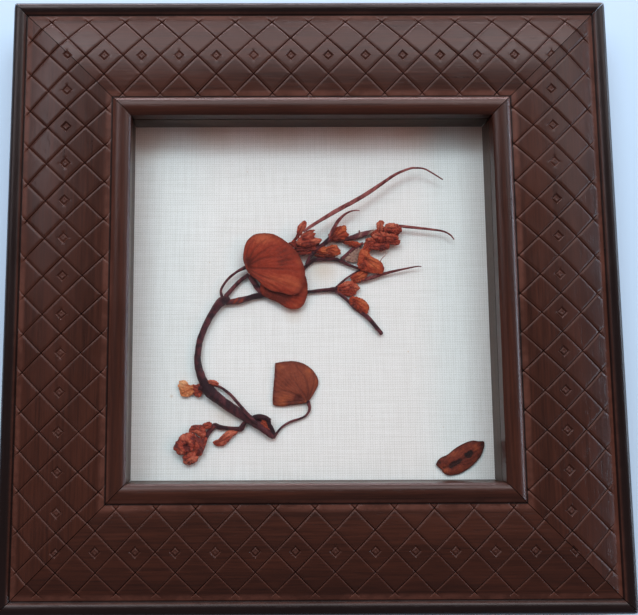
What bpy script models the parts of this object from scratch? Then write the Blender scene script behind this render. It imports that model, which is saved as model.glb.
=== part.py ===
"""A pressed flower frame: a square shadow-box frame of mitred, lattice-pressed moulding,
with a dried plant sprig and a small loose leaf on cream cloth in its recess.

The frame lies on its back. X runs to the picture's right, Y to the picture's top and Z
out of the picture. The origin is the middle of the frame's back, at z = 0.
"""

from math import asin, atan2, cos, hypot, pi, radians, sin, sqrt, tan

import bmesh
import bpy
from mathutils import Matrix, Vector

MM = 0.001
GAP = 0.3 * MM  # left between pieces that touch

# The moulding's section: distances from the middle of the picture, heights above the back.
OUTER = 101.6 * MM  # half the frame's 8 inch side
BACK_CHAMFER = 0.8 * MM
RIM_CREASE = 97.0 * MM
RIM_SHOULDER_Z = 17.4 * MM
RIM_HEIGHT = 1.9 * MM
RIM_CREASE_Z = 18.0 * MM
BEAD_CREASE = 66.6 * MM
BEAD_CREASE_Z = 21.3 * MM
BEAD_MIDDLE = 63.2 * MM  # where its crown is
BEAD_TOP_Z = 22.9 * MM
BEAD_TILT = radians(32)  # the slope of its outer flat, which runs down to the band
SIGHT = 60.3 * MM  # half the 4.75 inch opening
SIGHT_Z = 19.3 * MM
LIP_Z = 17.3 * MM
RABBET = 66.0 * MM
BAND_CROWN = 2.05 * MM  # how far the band swells above a straight line between its creases
MITRE_GAP = 0.2 * MM
RIM_STEPS = 5
BEAD_STEPS = (1, 4)  # outside and inside of its crown

# The pressed lattice.
PITCH = 12.55 * MM  # a diamond's diagonal
GROOVE_HALF_WIDTH = 0.45 * MM
GROOVE_DEPTH = 0.55 * MM
STAMP_HALF = 1.75 * MM
STAMP_DEPTH = 0.5 * MM
LATTICE_SHIFT = {  # each rail's own (along, across) offset of its middle row
    "top": (-0.55 * MM, -0.75 * MM),
    "left": (0.0, 0.05 * MM),
    "bottom": (0.45 * MM, -0.65 * MM),
    "right": (-0.1 * MM, -1.5 * MM),
}
RAIL_TURN = {"top": 0.0, "left": pi / 2, "bottom": pi, "right": -pi / 2}

# What lies in the rabbet, from the back.
BACKING_Z = (2.0 * MM, 3.9 * MM)
MOUNT_Z = (4.2 * MM, 6.2 * MM)
LINEN_TOP = 7.0 * MM
LINEN_Z = (MOUNT_Z[1] + GAP, LINEN_TOP)
SPACER_Z = (LINEN_TOP + GAP, 14.7 * MM)
SPACER_INNER = 60.9 * MM
GLASS_Z = (15.0 * MM, 17.0 * MM)
BOARD = RABBET - 0.5 * MM  # half the boards' side

# The fittings on the back.
POINT_SIZE = (7.0 * MM, 8.5 * MM, 0.5 * MM)  # across its root, out from the rail, thick
POINT_Z = 1.35 * MM
POINT_SPREAD = 36.0 * MM
HANGER_SIZE = (44.0 * MM, 7.5 * MM, 0.6 * MM)
HANGER_Y = 48.0 * MM
HANGER_TEETH = 9
TOOTH = 1.6 * MM
RIVET_RADIUS = 1.5 * MM
RIVET_X = 18.0 * MM
RIVET_FACE_Z = 0.1 * MM

WALNUT = (0.245, 0.135, 0.115)
SPACER_BROWN = (0.13, 0.10, 0.085)
CREAM = (0.84, 0.855, 0.845)
CARD = (0.80, 0.78, 0.72)
BOARD_BROWN = (0.46, 0.34, 0.24)
STEEL = (0.62, 0.62, 0.64)
BRASS = (0.72, 0.58, 0.32)
GLASS_TINT = (0.95, 0.98, 0.97)
STEM_BROWN = (0.20, 0.11, 0.12)
TWIG_BROWN = (0.31, 0.17, 0.16)
TAIL_BROWN = (0.45, 0.24, 0.22)
LEAF_RUST = (0.50, 0.23, 0.16)
LEAF_DARK = (0.43, 0.20, 0.13)
PETAL_ORANGE = (0.62, 0.27, 0.15)
PETAL_RED = (0.50, 0.22, 0.17)
PETAL_PALE = (0.72, 0.42, 0.22)
LOOSE_RUST = (0.42, 0.17, 0.09)

# Twigs and stalks. Each point is (x, y, height above the cloth, radius) in millimetres.
TWIGS = {
    "stem_main": (STEM_BROWN, 0.8, [
        (-14.4, -46.2, 1.7, 1.1), (-16.8, -44.3, 1.7, 1.3), (-20.1, -41.7, 1.7, 1.45),
        (-24.5, -38.4, 1.7, 1.55), (-30.0, -34.7, 1.7, 1.65), (-35.6, -30.2, 1.7, 1.65),
        (-38.3, -25.8, 1.7, 1.35), (-39.0, -20.5, 1.7, 1.2), (-38.3, -14.6, 1.7, 1.15),
        (-32.6, -3.3, 1.7, 1.25), (-30.3, -0.9, 1.7, 1.35), (-29.0, -0.4, 1.7, 1.2),
    ]),
    "branch_thin": (TWIG_BROWN, 1.0, [
        (-33.2, -28.8, 1.1, 0.55), (-30.4, -30.1, 1.0, 0.6), (-27.8, -32.6, 1.1, 0.6),
        (-26.0, -34.5, 2.2, 0.6), (-24.6, -36.1, 3.9, 0.6), (-22.2, -39.0, 4.0, 0.55),
    ]),
    "petiole_lower": (TWIG_BROWN, 1.0, [
        (-12.9, -46.5, 0.9, 0.55), (-10.8, -43.8, 0.8, 0.5), (-6.7, -41.8, 0.8, 0.45),
        (-3.2, -40.1, 0.8, 0.45), (-1.6, -38.4, 0.9, 0.45), (-1.5, -36.3, 1.2, 0.5),
    ]),
    "petiole_outer": (TWIG_BROWN, 1.0, [
        (-30.7, 1.3, 1.6, 0.5), (-30.6, 2.9, 1.6, 0.45), (-29.6, 5.2, 1.8, 0.45),
        (-25.8, 8.9, 2.3, 0.45), (-23.7, 10.1, 2.5, 0.5),
    ]),
    "petiole_inner": (TWIG_BROWN, 0.9, [
        (-28.6, 1.6, 1.4, 0.75), (-26.5, 4.0, 1.2, 0.7), (-24.1, 6.4, 1.1, 0.7),
        (-22.4, 7.8, 1.1, 0.65),
    ]),
    "petiole_under": (TWIG_BROWN, 0.9, [
        (-20.6, 7.3, 1.1, 0.65), (-18.9, 4.8, 1.1, 0.65), (-17.8, 3.2, 1.1, 0.6),
    ]),
    "branch_side": (STEM_BROWN, 1.0, [
        (-27.7, -1.3, 1.3, 0.95), (-25.3, -0.8, 1.3, 0.95), (-22.2, 0.0, 1.3, 0.95),
        (-17.0, 1.1, 1.2, 0.85), (-1.6, 2.3, 1.0, 0.65), (3.2, 2.7, 1.0, 0.6),
        (7.6, 3.0, 1.0, 0.65),
    ]),
    "branch_fork_upper": (TWIG_BROWN, 1.0, [
        (9.0, 3.9, 0.9, 0.45), (12.2, 6.5, 0.9, 0.4), (15.2, 9.0, 0.9, 0.4),
        (17.0, 10.0, 0.9, 0.35),
    ]),
    "branch_fork_lower": (TWIG_BROWN, 1.0, [
        (9.1, 2.0, 0.9, 0.45), (12.1, -0.4, 0.9, 0.45), (15.3, -3.1, 0.9, 0.5),
        (17.6, -5.6, 1.0, 0.65), (20.8, -9.1, 1.1, 0.75), (23.9, -12.4, 1.1, 0.7),
    ]),
    "branch_dark": (STEM_BROWN, 1.0, [
        (-3.0, 9.4, 1.0, 0.6), (-0.7, 12.0, 1.0, 0.65), (3.4, 13.4, 1.0, 0.65),
        (7.4, 13.5, 1.0, 0.65), (10.7, 12.6, 1.0, 0.6), (16.0, 10.8, 1.0, 0.4),
    ]),
    "branch_calyx": (STEM_BROWN, 1.0, [
        (-1.0, 13.6, 2.5, 0.6), (1.4, 16.6, 2.5, 0.65), (4.2, 18.8, 2.5, 0.6),
        (6.0, 20.5, 2.5, 0.6),
    ]),
    "branch_raceme": (TWIG_BROWN, 1.0, [
        (5.8, 19.8, 0.95, 0.55), (9.6, 19.9, 0.9, 0.5), (14.1, 20.9, 0.9, 0.5),
        (17.3, 22.0, 0.9, 0.5), (19.6, 22.9, 0.9, 0.45),
    ]),
    "branch_diagonal": (TWIG_BROWN, 1.0, [
        (11.2, 14.4, 0.95, 0.6), (13.2, 16.2, 0.95, 0.6), (15.4, 17.7, 0.95, 0.55),
        (16.8, 18.6, 0.95, 0.5),
    ]),
    "shoot_lower": (STEM_BROWN, 1.0, [
        (-22.9, -42.3, 0.9, 0.6), (-24.2, -43.6, 0.9, 0.6), (-29.5, -43.3, 0.9, 0.55),
        (-32.4, -42.8, 0.9, 0.6), (-34.6, -44.9, 0.9, 0.55), (-35.9, -47.3, 0.9, 0.55),
        (-36.9, -51.3, 0.9, 0.5),
    ]),
    "tail_long": (TAIL_BROWN, 0.8, [
        (-0.9, 23.8, 5.2, 0.45), (3.3, 26.4, 5.2, 0.55), (17.2, 34.4, 4.8, 0.7),
        (23.8, 38.8, 4.6, 0.6), (29.2, 42.4, 4.4, 0.5), (34.1, 44.6, 4.2, 0.4),
        (39.0, 44.7, 4.0, 0.3), (45.7, 41.0, 3.4, 0.2),
    ]),
    "tail_short": (TAIL_BROWN, 0.9, [
        (6.9, 22.2, 4.0, 0.5), (8.8, 24.7, 4.0, 0.6), (11.3, 27.8, 3.8, 0.5),
        (13.8, 29.9, 3.6, 0.35), (16.7, 30.7, 3.4, 0.22),
    ]),
    "tail_end": (TAIL_BROWN, 0.9, [
        (32.2, 24.5, 2.6, 0.5), (35.9, 24.3, 2.6, 0.5), (41.9, 23.6, 2.6, 0.4),
        (45.6, 23.0, 2.5, 0.32), (48.0, 21.8, 2.3, 0.27), (49.3, 20.3, 2.0, 0.22),
    ]),
    "tail_fork": (TAIL_BROWN, 0.9, [
        (20.4, 6.8, 1.2, 0.6), (26.4, 8.8, 1.5, 0.5), (32.1, 10.0, 1.8, 0.35),
        (37.8, 10.8, 2.0, 0.22),
    ]),
}
TWIG_RESOLUTION = 1
TWIG_STEPS = 2

# Leaves and broad petals, in millimetres: an outline, the point its veins fan from,
# heights above the cloth at that point and at the edge, and the swell between them.
BLADES = {
    "leaf_upper": (LEAF_RUST, (-21.5, 10.4), 3.0, 3.9, 0.9, [
        (-22.6, 11.2), (-23.1, 14.4), (-22.0, 19.3), (-18.6, 22.0), (-14.2, 22.2),
        (-9.6, 20.2), (-5.8, 16.8), (-3.3, 12.8), (-2.1, 7.8), (-3.7, 2.3),
        (-7.7, 1.0), (-13.4, 2.4), (-16.1, 3.9), (-18.5, 6.1), (-21.9, 9.3),
    ]),
    "leaf_under": (LEAF_DARK, (-15.5, 5.0), 2.7, 2.7, 0.1, [
        (-17.0, 3.6), (-15.4, 0.4), (-8.8, -3.0), (-6.4, -3.7), (-4.0, -3.3),
        (-1.5, 0.7), (-1.7, 6.8), (-6.0, 12.0), (-10.0, 11.8), (-14.0, 9.5),
        (-16.4, 6.8),
    ]),
    "leaf_lower": (LEAF_DARK, (-2.1, -35.1), 1.1, 0.8, 0.5, [
        (-1.4, -35.3), (1.7, -30.2), (2.2, -28.4), (1.7, -26.4), (-1.2, -23.0),
        (-5.1, -21.4), (-8.2, -21.3), (-12.2, -21.9), (-13.3, -35.4), (-11.8, -36.4),
        (-6.6, -36.0), (-2.6, -35.7),
    ]),
    "leaf_loose": (LOOSE_RUST, (44.4, -56.9), 0.9, 0.7, 0.3, [
        (41.3, -55.6), (42.9, -53.8), (45.5, -52.5), (48.2, -50.4), (50.9, -49.1),
        (53.7, -48.2), (57.5, -48.5), (56.4, -53.1), (52.1, -57.3), (46.5, -59.4),
        (44.2, -59.1), (41.8, -56.7),
    ]),
    "petal_orange": (PETAL_ORANGE, (17.6, 14.2), 2.4, 2.3, 0.5, [
        (17.2, 15.1), (19.6, 15.3), (21.8, 14.4), (23.6, 13.1), (25.2, 11.2),
        (24.9, 9.2), (22.7, 8.6), (19.5, 9.2), (17.4, 11.0), (16.5, 13.2),
    ]),
    "petal_lower": (PETAL_ORANGE, (14.4, 0.2), 1.2, 0.9, 0.6, [
        (13.1, 0.6), (15.3, 1.0), (16.9, 0.3), (18.1, -0.8), (19.2, -2.9),
        (19.3, -4.4), (18.5, -4.7), (16.2, -2.3), (14.3, -0.6),
    ]),
    "flower_bell": (PETAL_PALE, (-41.2, -30.3), 1.3, 1.0, 0.5, [
        (-40.8, -29.4), (-41.9, -28.8), (-43.5, -27.7), (-45.4, -28.0), (-45.1, -29.4),
        (-45.6, -30.6), (-45.0, -31.6), (-44.6, -32.8), (-42.1, -32.7), (-40.8, -31.3),
    ]),
}
BLADE_THICKNESS = 0.5 * MM
VEIN_RELIEF = 0.15 * MM

# Small petals and buds fused to their calyx, in millimetres:
# (base x, base y, tip x, tip y, width, height of the middle above the cloth, thickness).
FLOWERS = {
    "stem_knob": (STEM_BROWN, [
        (-19.6, -39.3, -13.8, -43.5, 2.3, 1.8, 2.6),
    ]),
    "calyx_long": (PETAL_RED, [
        (-4.6, 19.6, -1.7, 26.7, 2.9, 3.8, 1.0), (-4.3, 19.5, 1.6, 23.5, 2.4, 4.0, 1.1),
        (-3.7, 19.5, 4.2, 20.8, 2.7, 3.9, 1.2), (-5.4, 19.2, 0.8, 19.9, 3.2, 4.05, 1.3),
        (-4.8, 18.5, 4.0, 18.4, 1.4, 3.75, 0.9),
    ]),
    "calyx_short": (PETAL_ORANGE, [
        (7.2, 21.2, 12.5, 23.6, 3.4, 2.5, 1.0), (8.4, 21.9, 12.2, 25.0, 2.0, 2.4, 0.8),
        (7.8, 21.4, 13.3, 22.3, 1.8, 2.5, 0.9),
    ]),
    "florets_middle": (PETAL_ORANGE, [
        (4.6, 17.1, 10.5, 15.3, 3.2, 2.5, 1.1), (5.2, 17.5, 10.0, 17.6, 1.8, 2.5, 0.9),
    ]),
    "bract_raceme": (PETAL_ORANGE, [
        (10.6, 19.1, 16.9, 19.2, 1.7, 2.3, 0.8),
    ]),
    "florets_end": (PETAL_RED, [
        (22.6, 22.0, 24.8, 27.1, 2.5, 2.95, 1.6), (25.4, 23.2, 29.2, 25.8, 3.3, 2.9, 2.2),
        (26.9, 24.0, 31.8, 23.6, 3.4, 2.8, 2.1), (26.7, 21.2, 31.6, 19.6, 3.2, 2.75, 2.2),
        (23.7, 22.6, 29.6, 21.5, 3.5, 3.0, 2.4), (22.2, 19.8, 27.2, 18.0, 3.4, 2.7, 2.3),
        (20.7, 22.7, 25.6, 22.2, 3.3, 2.85, 2.2), (18.7, 19.5, 23.9, 20.5, 3.2, 2.9, 2.1),
        (16.9, 16.0, 21.2, 19.7, 2.4, 2.95, 1.8),
    ]),
    "bract_fork": (PETAL_ORANGE, [
        (15.3, 6.0, 19.4, 8.9, 2.3, 1.1, 1.1),
    ]),
    "florets_fork": (PETAL_RED, [
        (10.2, 3.5, 16.5, 5.1, 2.4, 1.3, 1.3), (10.2, 3.3, 17.2, 3.5, 2.2, 1.4, 1.3),
        (10.1, 3.0, 15.6, 2.1, 2.0, 1.3, 1.3),
    ]),
    "calyx_bell": (PETAL_RED, [
        (-38.2, -31.1, -40.4, -29.6, 1.7, 1.4, 1.5), (-38.1, -31.2, -40.4, -32.4, 1.8, 1.4, 1.5),
        (-38.1, -31.1, -40.4, -31.0, 1.4, 1.4, 1.5),
    ]),
    "bud_scale": (PETAL_RED, [
        (-35.2, -27.2, -31.4, -29.1, 1.4, 2.8, 0.9),
    ]),
    "bud_lower": (PETAL_RED, [
        (-25.2, -45.2, -30.3, -46.8, 2.2, 1.4, 1.7), (-28.4, -46.2, -33.9, -48.1, 2.9, 1.5, 2.0),
    ]),
    "florets_lower": (PETAL_RED, [
        (-36.4, -43.2, -41.6, -45.0, 3.6, 2.8, 2.2), (-35.2, -42.3, -38.6, -43.7, 2.6, 2.9, 2.0),
        (-38.6, -43.6, -44.0, -49.4, 4.6, 2.95, 2.4), (-41.0, -45.8, -47.0, -50.4, 5.2, 2.75, 2.2),
        (-37.2, -48.2, -42.8, -50.8, 4.4, 2.8, 2.1), (-40.0, -48.6, -42.8, -56.0, 4.2, 2.7, 2.0),
    ]),
}
PETAL_SEGMENTS = 6
PETAL_RINGS = 4
PETAL_BASE_SHARE = 0.55  # a petal's width at its base, as a share of its full width


def linear(share):
    """One channel of a screen colour as light."""
    return share / 12.92 if share <= 0.04045 else ((share + 0.055) / 1.055) ** 2.4


def finish(name, colour, roughness=0.5, metallic=0.0, transmission=0.0):
    """A plain Principled material, made once for each name."""
    if name in bpy.data.materials:
        return bpy.data.materials[name]
    material = bpy.data.materials.new(name)
    material.use_nodes = True
    shader = material.node_tree.nodes["Principled BSDF"]
    shader.inputs["Base Color"].default_value = (*map(linear, colour), 1.0)
    shader.inputs["Roughness"].default_value = roughness
    shader.inputs["Metallic"].default_value = metallic
    shader.inputs["Transmission Weight"].default_value = transmission
    return material


def place(name, bm, material):
    """Turns a bmesh into a named object with one material."""
    bmesh.ops.recalc_face_normals(bm, faces=bm.faces)
    mesh = bpy.data.meshes.new(name)
    bm.to_mesh(mesh)
    bm.free()
    mesh.materials.append(material)
    obj = bpy.data.objects.new(name, mesh)
    bpy.context.scene.collection.objects.link(obj)
    return obj


def swell(middle, half_width, base_z, height, start, end, steps):
    """Points on an upright half ellipse, from one angle to another."""
    angles = [start + (end - start) * i / steps for i in range(steps + 1)]
    return [(middle + half_width * cos(a), base_z + height * sin(a)) for a in angles]


def rail_section():
    """The moulding's section, as (distance from the middle, height) points."""
    rim_half = (OUTER - RIM_CREASE) / 2
    rim_end = pi - asin((RIM_CREASE_Z - RIM_SHOULDER_Z) / RIM_HEIGHT)
    rim = swell(RIM_CREASE + rim_half, rim_half, RIM_SHOULDER_Z, RIM_HEIGHT, 0, rim_end, RIM_STEPS)
    rim[-1] = (RIM_CREASE, RIM_CREASE_Z)
    run, rise = BEAD_CREASE - BEAD_MIDDLE, BEAD_TOP_Z - BEAD_CREASE_Z
    slope = tan(BEAD_TILT)
    radius = (run * slope - rise) / (sin(BEAD_TILT) * slope - (1 - cos(BEAD_TILT)))
    outside, inside = BEAD_STEPS
    bead = [(BEAD_CREASE, BEAD_CREASE_Z)] + swell(
        BEAD_MIDDLE, radius, BEAD_TOP_Z - radius, radius, pi / 2 - BEAD_TILT, pi / 2, outside
    )
    bead += swell(
        BEAD_MIDDLE, BEAD_MIDDLE - SIGHT, SIGHT_Z, BEAD_TOP_Z - SIGHT_Z, pi / 2, pi, inside
    )[1:]
    back = [(OUTER - BACK_CHAMFER, 0.0), (OUTER, BACK_CHAMFER)]
    return back + rim + bead + [(SIGHT, LIP_Z), (RABBET, LIP_Z), (RABBET, 0.0)]


def mitred_strip(section, gap):
    """A strip of one section along X, beyond y = 0, cut at 45 degrees at both ends."""
    bm = bmesh.new()
    reach = max(across for across, _ in section) + 2 * MM
    face = bm.faces.new([bm.verts.new((-reach, across, z)) for across, z in section])
    moved = bmesh.ops.extrude_face_region(bm, geom=[face])["geom"]
    ends = [v for v in moved if isinstance(v, bmesh.types.BMVert)]
    bmesh.ops.translate(bm, verts=ends, vec=(2 * reach, 0, 0))
    for side in (-1, 1):
        normal = Vector((side, -1, 0)).normalized()
        cut = bmesh.ops.bisect_plane(
            bm, geom=bm.verts[:] + bm.edges[:] + bm.faces[:], dist=1e-7,
            plane_co=-normal * gap / 2, plane_no=normal, clear_outer=True,
        )["geom_cut"]
        rim = [e for e in cut if isinstance(e, bmesh.types.BMEdge)]
        bmesh.ops.edgeloop_fill(bm, edges=rim)
    return bm


def band_height(across):
    """The height of the cushioned band at a distance from the picture's middle."""
    share = (across - BEAD_CREASE) / (RIM_CREASE - BEAD_CREASE)
    straight = BEAD_CREASE_Z + (RIM_CREASE_Z - BEAD_CREASE_Z) * share
    return straight + BAND_CROWN * 4 * share * (1 - share)


def lattice_offset(point, row, along_shift, slant):
    """How far a point lies from the nearest groove line of one slant, along the rail."""
    value = (point.x - along_shift) + slant * (point.y - row)
    return abs(value - round(value / PITCH) * PITCH)


def press_lattice(bm, side):
    """Presses the crossing V grooves and the stamped lozenges into a rail's band."""
    along_shift, across_shift = LATTICE_SHIFT[side]
    row = (RIM_CREASE + BEAD_CREASE) / 2 + across_shift
    for face in bm.faces:
        reach = [v.co.y for v in face.verts]
        on_band = abs(min(reach) - BEAD_CREASE) < 1e-6 and abs(max(reach) - RIM_CREASE) < 1e-6
        face.material_index = int(on_band)
    lines = int(2 * OUTER / PITCH) + 2
    for slant in (-1, 1):
        normal = Vector((1, slant, 0)).normalized()
        for number in range(-lines, lines + 1):
            middle = Vector((along_shift + number * PITCH, row, 0))
            for offset in (-GROOVE_HALF_WIDTH, 0, GROOVE_HALF_WIDTH):
                faces = [f for f in bm.faces if f.material_index]
                edges = list({e for f in faces for e in f.edges})
                verts = list({v for f in faces for v in f.verts})
                bmesh.ops.bisect_plane(
                    bm, geom=verts + edges + faces, dist=1e-7,
                    plane_co=middle + normal * offset, plane_no=normal,
                )
    faces = [f for f in bm.faces if f.material_index]
    for vert in {v for f in faces for v in f.verts}:
        vert.co.z = band_height(vert.co.y)
        if any(lattice_offset(vert.co, row, along_shift, s) < 1e-6 for s in (-1, 1)):
            vert.co.z -= GROOVE_DEPTH
    press_stamps(bm, [f for f in faces if len(f.verts) == 4], row, along_shift)
    simplify_crossings(bm, row, along_shift)
    for face in bm.faces:
        face.material_index = 0


def simplify_crossings(bm, row, along_shift):
    """Runs each groove's two flanks straight to the middle of every crossing."""
    on_band = [v for v in bm.verts if all(f.material_index for f in v.link_faces)]
    middles = [
        v for v in on_band
        if len(v.link_faces) == 4
        and all(lattice_offset(v.co, row, along_shift, s) < 1e-6 for s in (-1, 1))
    ]
    spare = set()
    for vert in middles:
        ring = {edge.other_vert(vert) for edge in vert.link_edges}
        faces = [f for f in vert.link_faces if len(f.verts) == 4]
        corners = {next(v for v in f.verts if v is not vert and v not in ring) for f in faces}
        if len(ring) < 4 or len(corners) < 4 or not ring <= set(on_band):
            continue
        spare |= {e for v in ring for e in v.link_edges if e.other_vert(v) in corners}
        for face in faces:
            corner = next(v for v in face.verts if v in corners)
            bmesh.utils.face_split(face, vert, corner)
    bmesh.ops.dissolve_edges(bm, edges=list(spare), use_verts=True)


def press_stamps(bm, cells, row, along_shift):
    """Sinks a small lozenge into the middle of each whole diamond of the middle row."""
    whole = PITCH / sqrt(2) - 2 * GROOVE_HALF_WIDTH
    for face in cells:
        centre = face.calc_center_median()
        steps = (centre.x - along_shift) / PITCH - 0.5
        on_row = abs(centre.y - row) < MM and abs(steps - round(steps)) < 0.1
        sides = [edge.calc_length() for edge in face.edges]
        if not on_row or min(sides) < 0.95 * whole:
            continue
        border = whole / 2 - STAMP_HALF / sqrt(2)
        bmesh.ops.inset_region(bm, faces=[face], thickness=border, use_even_offset=True)
        bmesh.ops.poke(bm, faces=[face], offset=-STAMP_DEPTH)


def make_rails():
    """The four rails, each turned to its side of the picture."""
    material = finish("dark_walnut", WALNUT, 0.38)
    section = rail_section()
    for side, turn in RAIL_TURN.items():
        bm = mitred_strip(section, MITRE_GAP)
        press_lattice(bm, side)
        bmesh.ops.rotate(bm, verts=bm.verts, cent=(0, 0, 0), matrix=Matrix.Rotation(turn, 3, "Z"))
        place(f"rail_{side}", bm, material)


def make_spacers():
    """The dark strips that make the recess walls and hold the glass off the cloth."""
    material = finish("spacer_brown", SPACER_BROWN, 0.45)
    low, high = SPACER_Z
    section = [(BOARD, low), (BOARD, high), (SPACER_INNER, high), (SPACER_INNER, low)]
    for side, turn in RAIL_TURN.items():
        bm = mitred_strip(section, GAP)
        bmesh.ops.rotate(bm, verts=bm.verts, cent=(0, 0, 0), matrix=Matrix.Rotation(turn, 3, "Z"))
        place(f"spacer_{side}", bm, material)


def slab(name, half, heights, material):
    """A square sheet centred on the picture."""
    bm = bmesh.new()
    bmesh.ops.create_cube(bm, size=1)
    thickness = heights[1] - heights[0]
    bmesh.ops.scale(bm, verts=bm.verts, vec=(2 * half, 2 * half, thickness))
    bmesh.ops.translate(bm, verts=bm.verts, vec=(0, 0, sum(heights) / 2))
    return place(name, bm, material)


def make_boards():
    """The glass, the cloth on its board and the backing board."""
    slab("glass", BOARD, GLASS_Z, finish("clear_glass", GLASS_TINT, 0.0, transmission=1.0))
    slab("linen", BOARD - GAP, LINEN_Z, finish("cream_linen", CREAM, 0.9))
    slab("mount_board", BOARD - GAP, MOUNT_Z, finish("white_card", CARD, 0.85))
    slab("backing_board", BOARD, BACKING_Z, finish("hardboard", BOARD_BROWN, 0.7))


def make_points():
    """Eight thin steel points that stand in the rabbet's wall over the backing board."""
    material = finish("thin_steel", STEEL, 0.4, 1.0)
    root, length, thick = POINT_SIZE
    for side, turn in RAIL_TURN.items():
        for number, along in enumerate((-POINT_SPREAD, POINT_SPREAD), start=1):
            bm = bmesh.new()
            ends = [(-root / 2, 0), (root / 2, 0), (root / 6, -length), (-root / 6, -length)]
            face = bm.faces.new([bm.verts.new((x, y, 0)) for x, y in ends])
            moved = bmesh.ops.extrude_face_region(bm, geom=[face])["geom"]
            top = [v for v in moved if isinstance(v, bmesh.types.BMVert)]
            bmesh.ops.translate(bm, verts=top, vec=(0, 0, thick))
            base = (along, RABBET - GAP, POINT_Z - thick / 2)
            bmesh.ops.translate(bm, verts=bm.verts, vec=base)
            matrix = Matrix.Rotation(turn, 3, "Z")
            bmesh.ops.rotate(bm, verts=bm.verts, cent=(0, 0, 0), matrix=matrix)
            place(f"point_{side}_{number}", bm, material)


def make_hanger():
    """A sawtooth hanger held to the backing board by two rivets."""
    width, depth, thick = HANGER_SIZE
    low = BACKING_Z[0] - GAP - thick
    outline = [(-width / 2, depth / 2), (-width / 2, -depth / 2)]
    first = -HANGER_TEETH * TOOTH / 2
    outline.append((first, -depth / 2))
    for number in range(HANGER_TEETH):
        left = first + number * TOOTH
        outline += [(left + TOOTH / 2, -depth / 2 + TOOTH), (left + TOOTH, -depth / 2)]
    outline += [(width / 2, -depth / 2), (width / 2, depth / 2)]
    bm = bmesh.new()
    face = bm.faces.new([bm.verts.new((x, y + HANGER_Y, low)) for x, y in outline])
    moved = bmesh.ops.extrude_face_region(bm, geom=[face])["geom"]
    top = [v for v in moved if isinstance(v, bmesh.types.BMVert)]
    bmesh.ops.translate(bm, verts=top, vec=(0, 0, thick))
    place("hanger", bm, finish("hanger_brass", BRASS, 0.35, 1.0))
    for side, x in (("left", -RIVET_X), ("right", RIVET_X)):
        bm = bmesh.new()
        bmesh.ops.create_cone(
            bm, cap_ends=True, segments=8, radius1=RIVET_RADIUS, radius2=RIVET_RADIUS * 0.7,
            depth=low - GAP - RIVET_FACE_Z,
        )
        middle = (low - GAP + RIVET_FACE_Z) / 2
        bmesh.ops.rotate(bm, verts=bm.verts, cent=(0, 0, 0), matrix=Matrix.Rotation(pi, 3, "X"))
        bmesh.ops.translate(bm, verts=bm.verts, vec=(x, HANGER_Y + depth / 5, middle))
        place(f"hanger_rivet_{side}", bm, finish("hanger_brass", BRASS, 0.35, 1.0))


def make_twig(name, colour, flatness, points):
    """One tapered stalk along a smooth curve, pressed a little flat."""
    curve = bpy.data.curves.new(name, "CURVE")
    curve.dimensions = "3D"
    curve.bevel_depth = MM
    curve.bevel_resolution = TWIG_RESOLUTION
    curve.resolution_u = TWIG_STEPS
    curve.use_fill_caps = True
    spline = curve.splines.new("BEZIER")
    spline.bezier_points.add(len(points) - 1)
    middle = sum(z for _, _, z, _ in points) / len(points)
    for bezier, (x, y, z, radius) in zip(spline.bezier_points, points):
        bezier.co = (x * MM, y * MM, (z - middle) * MM / flatness)
        bezier.radius = radius
        bezier.handle_left_type = bezier.handle_right_type = "AUTO"
    curve.materials.append(finish(f"{name}_bark", colour, 0.55))
    obj = bpy.data.objects.new(name, curve)
    obj.location.z = LINEN_TOP + middle * MM
    obj.scale.z = flatness
    bpy.context.scene.collection.objects.link(obj)


def make_blade(name, colour, hub, hub_z, edge_z, dome, outline):
    """A leaf or broad petal: a fan of pleats from its stalk, with a thickness."""
    bm = bmesh.new()
    made = bmesh.ops.create_circle(
        bm, cap_ends=True, cap_tris=True, segments=len(outline), radius=MM
    )["verts"]
    centre = next(v for v in made if len(v.link_edges) == len(outline))
    ring = [v for v in made if v is not centre]
    for vert, (x, y) in zip(ring, outline):
        vert.co = (x * MM, y * MM, LINEN_TOP + edge_z * MM)
    centre.co = (hub[0] * MM, hub[1] * MM, LINEN_TOP + hub_z * MM)
    root = centre.co.copy()
    cut = bmesh.ops.subdivide_edges(bm, edges=centre.link_edges[:], cuts=1)["geom_inner"]
    middles = [v for v in cut if isinstance(v, bmesh.types.BMVert)]
    for number, vert in enumerate(sorted(middles, key=lambda v: heading(v.co - root))):
        vert.co.z += dome * MM + (VEIN_RELIEF if number % 2 else -VEIN_RELIEF)
    obj = place(name, bm, finish(f"{name}_skin", colour, 0.6))
    thicken = obj.modifiers.new("thickness", "SOLIDIFY")
    thicken.thickness = BLADE_THICKNESS
    thicken.offset = 0.0


def heading(offset):
    """The direction of an offset seen from above, for ordering a leaf's veins."""
    return atan2(offset.y, offset.x)


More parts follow.
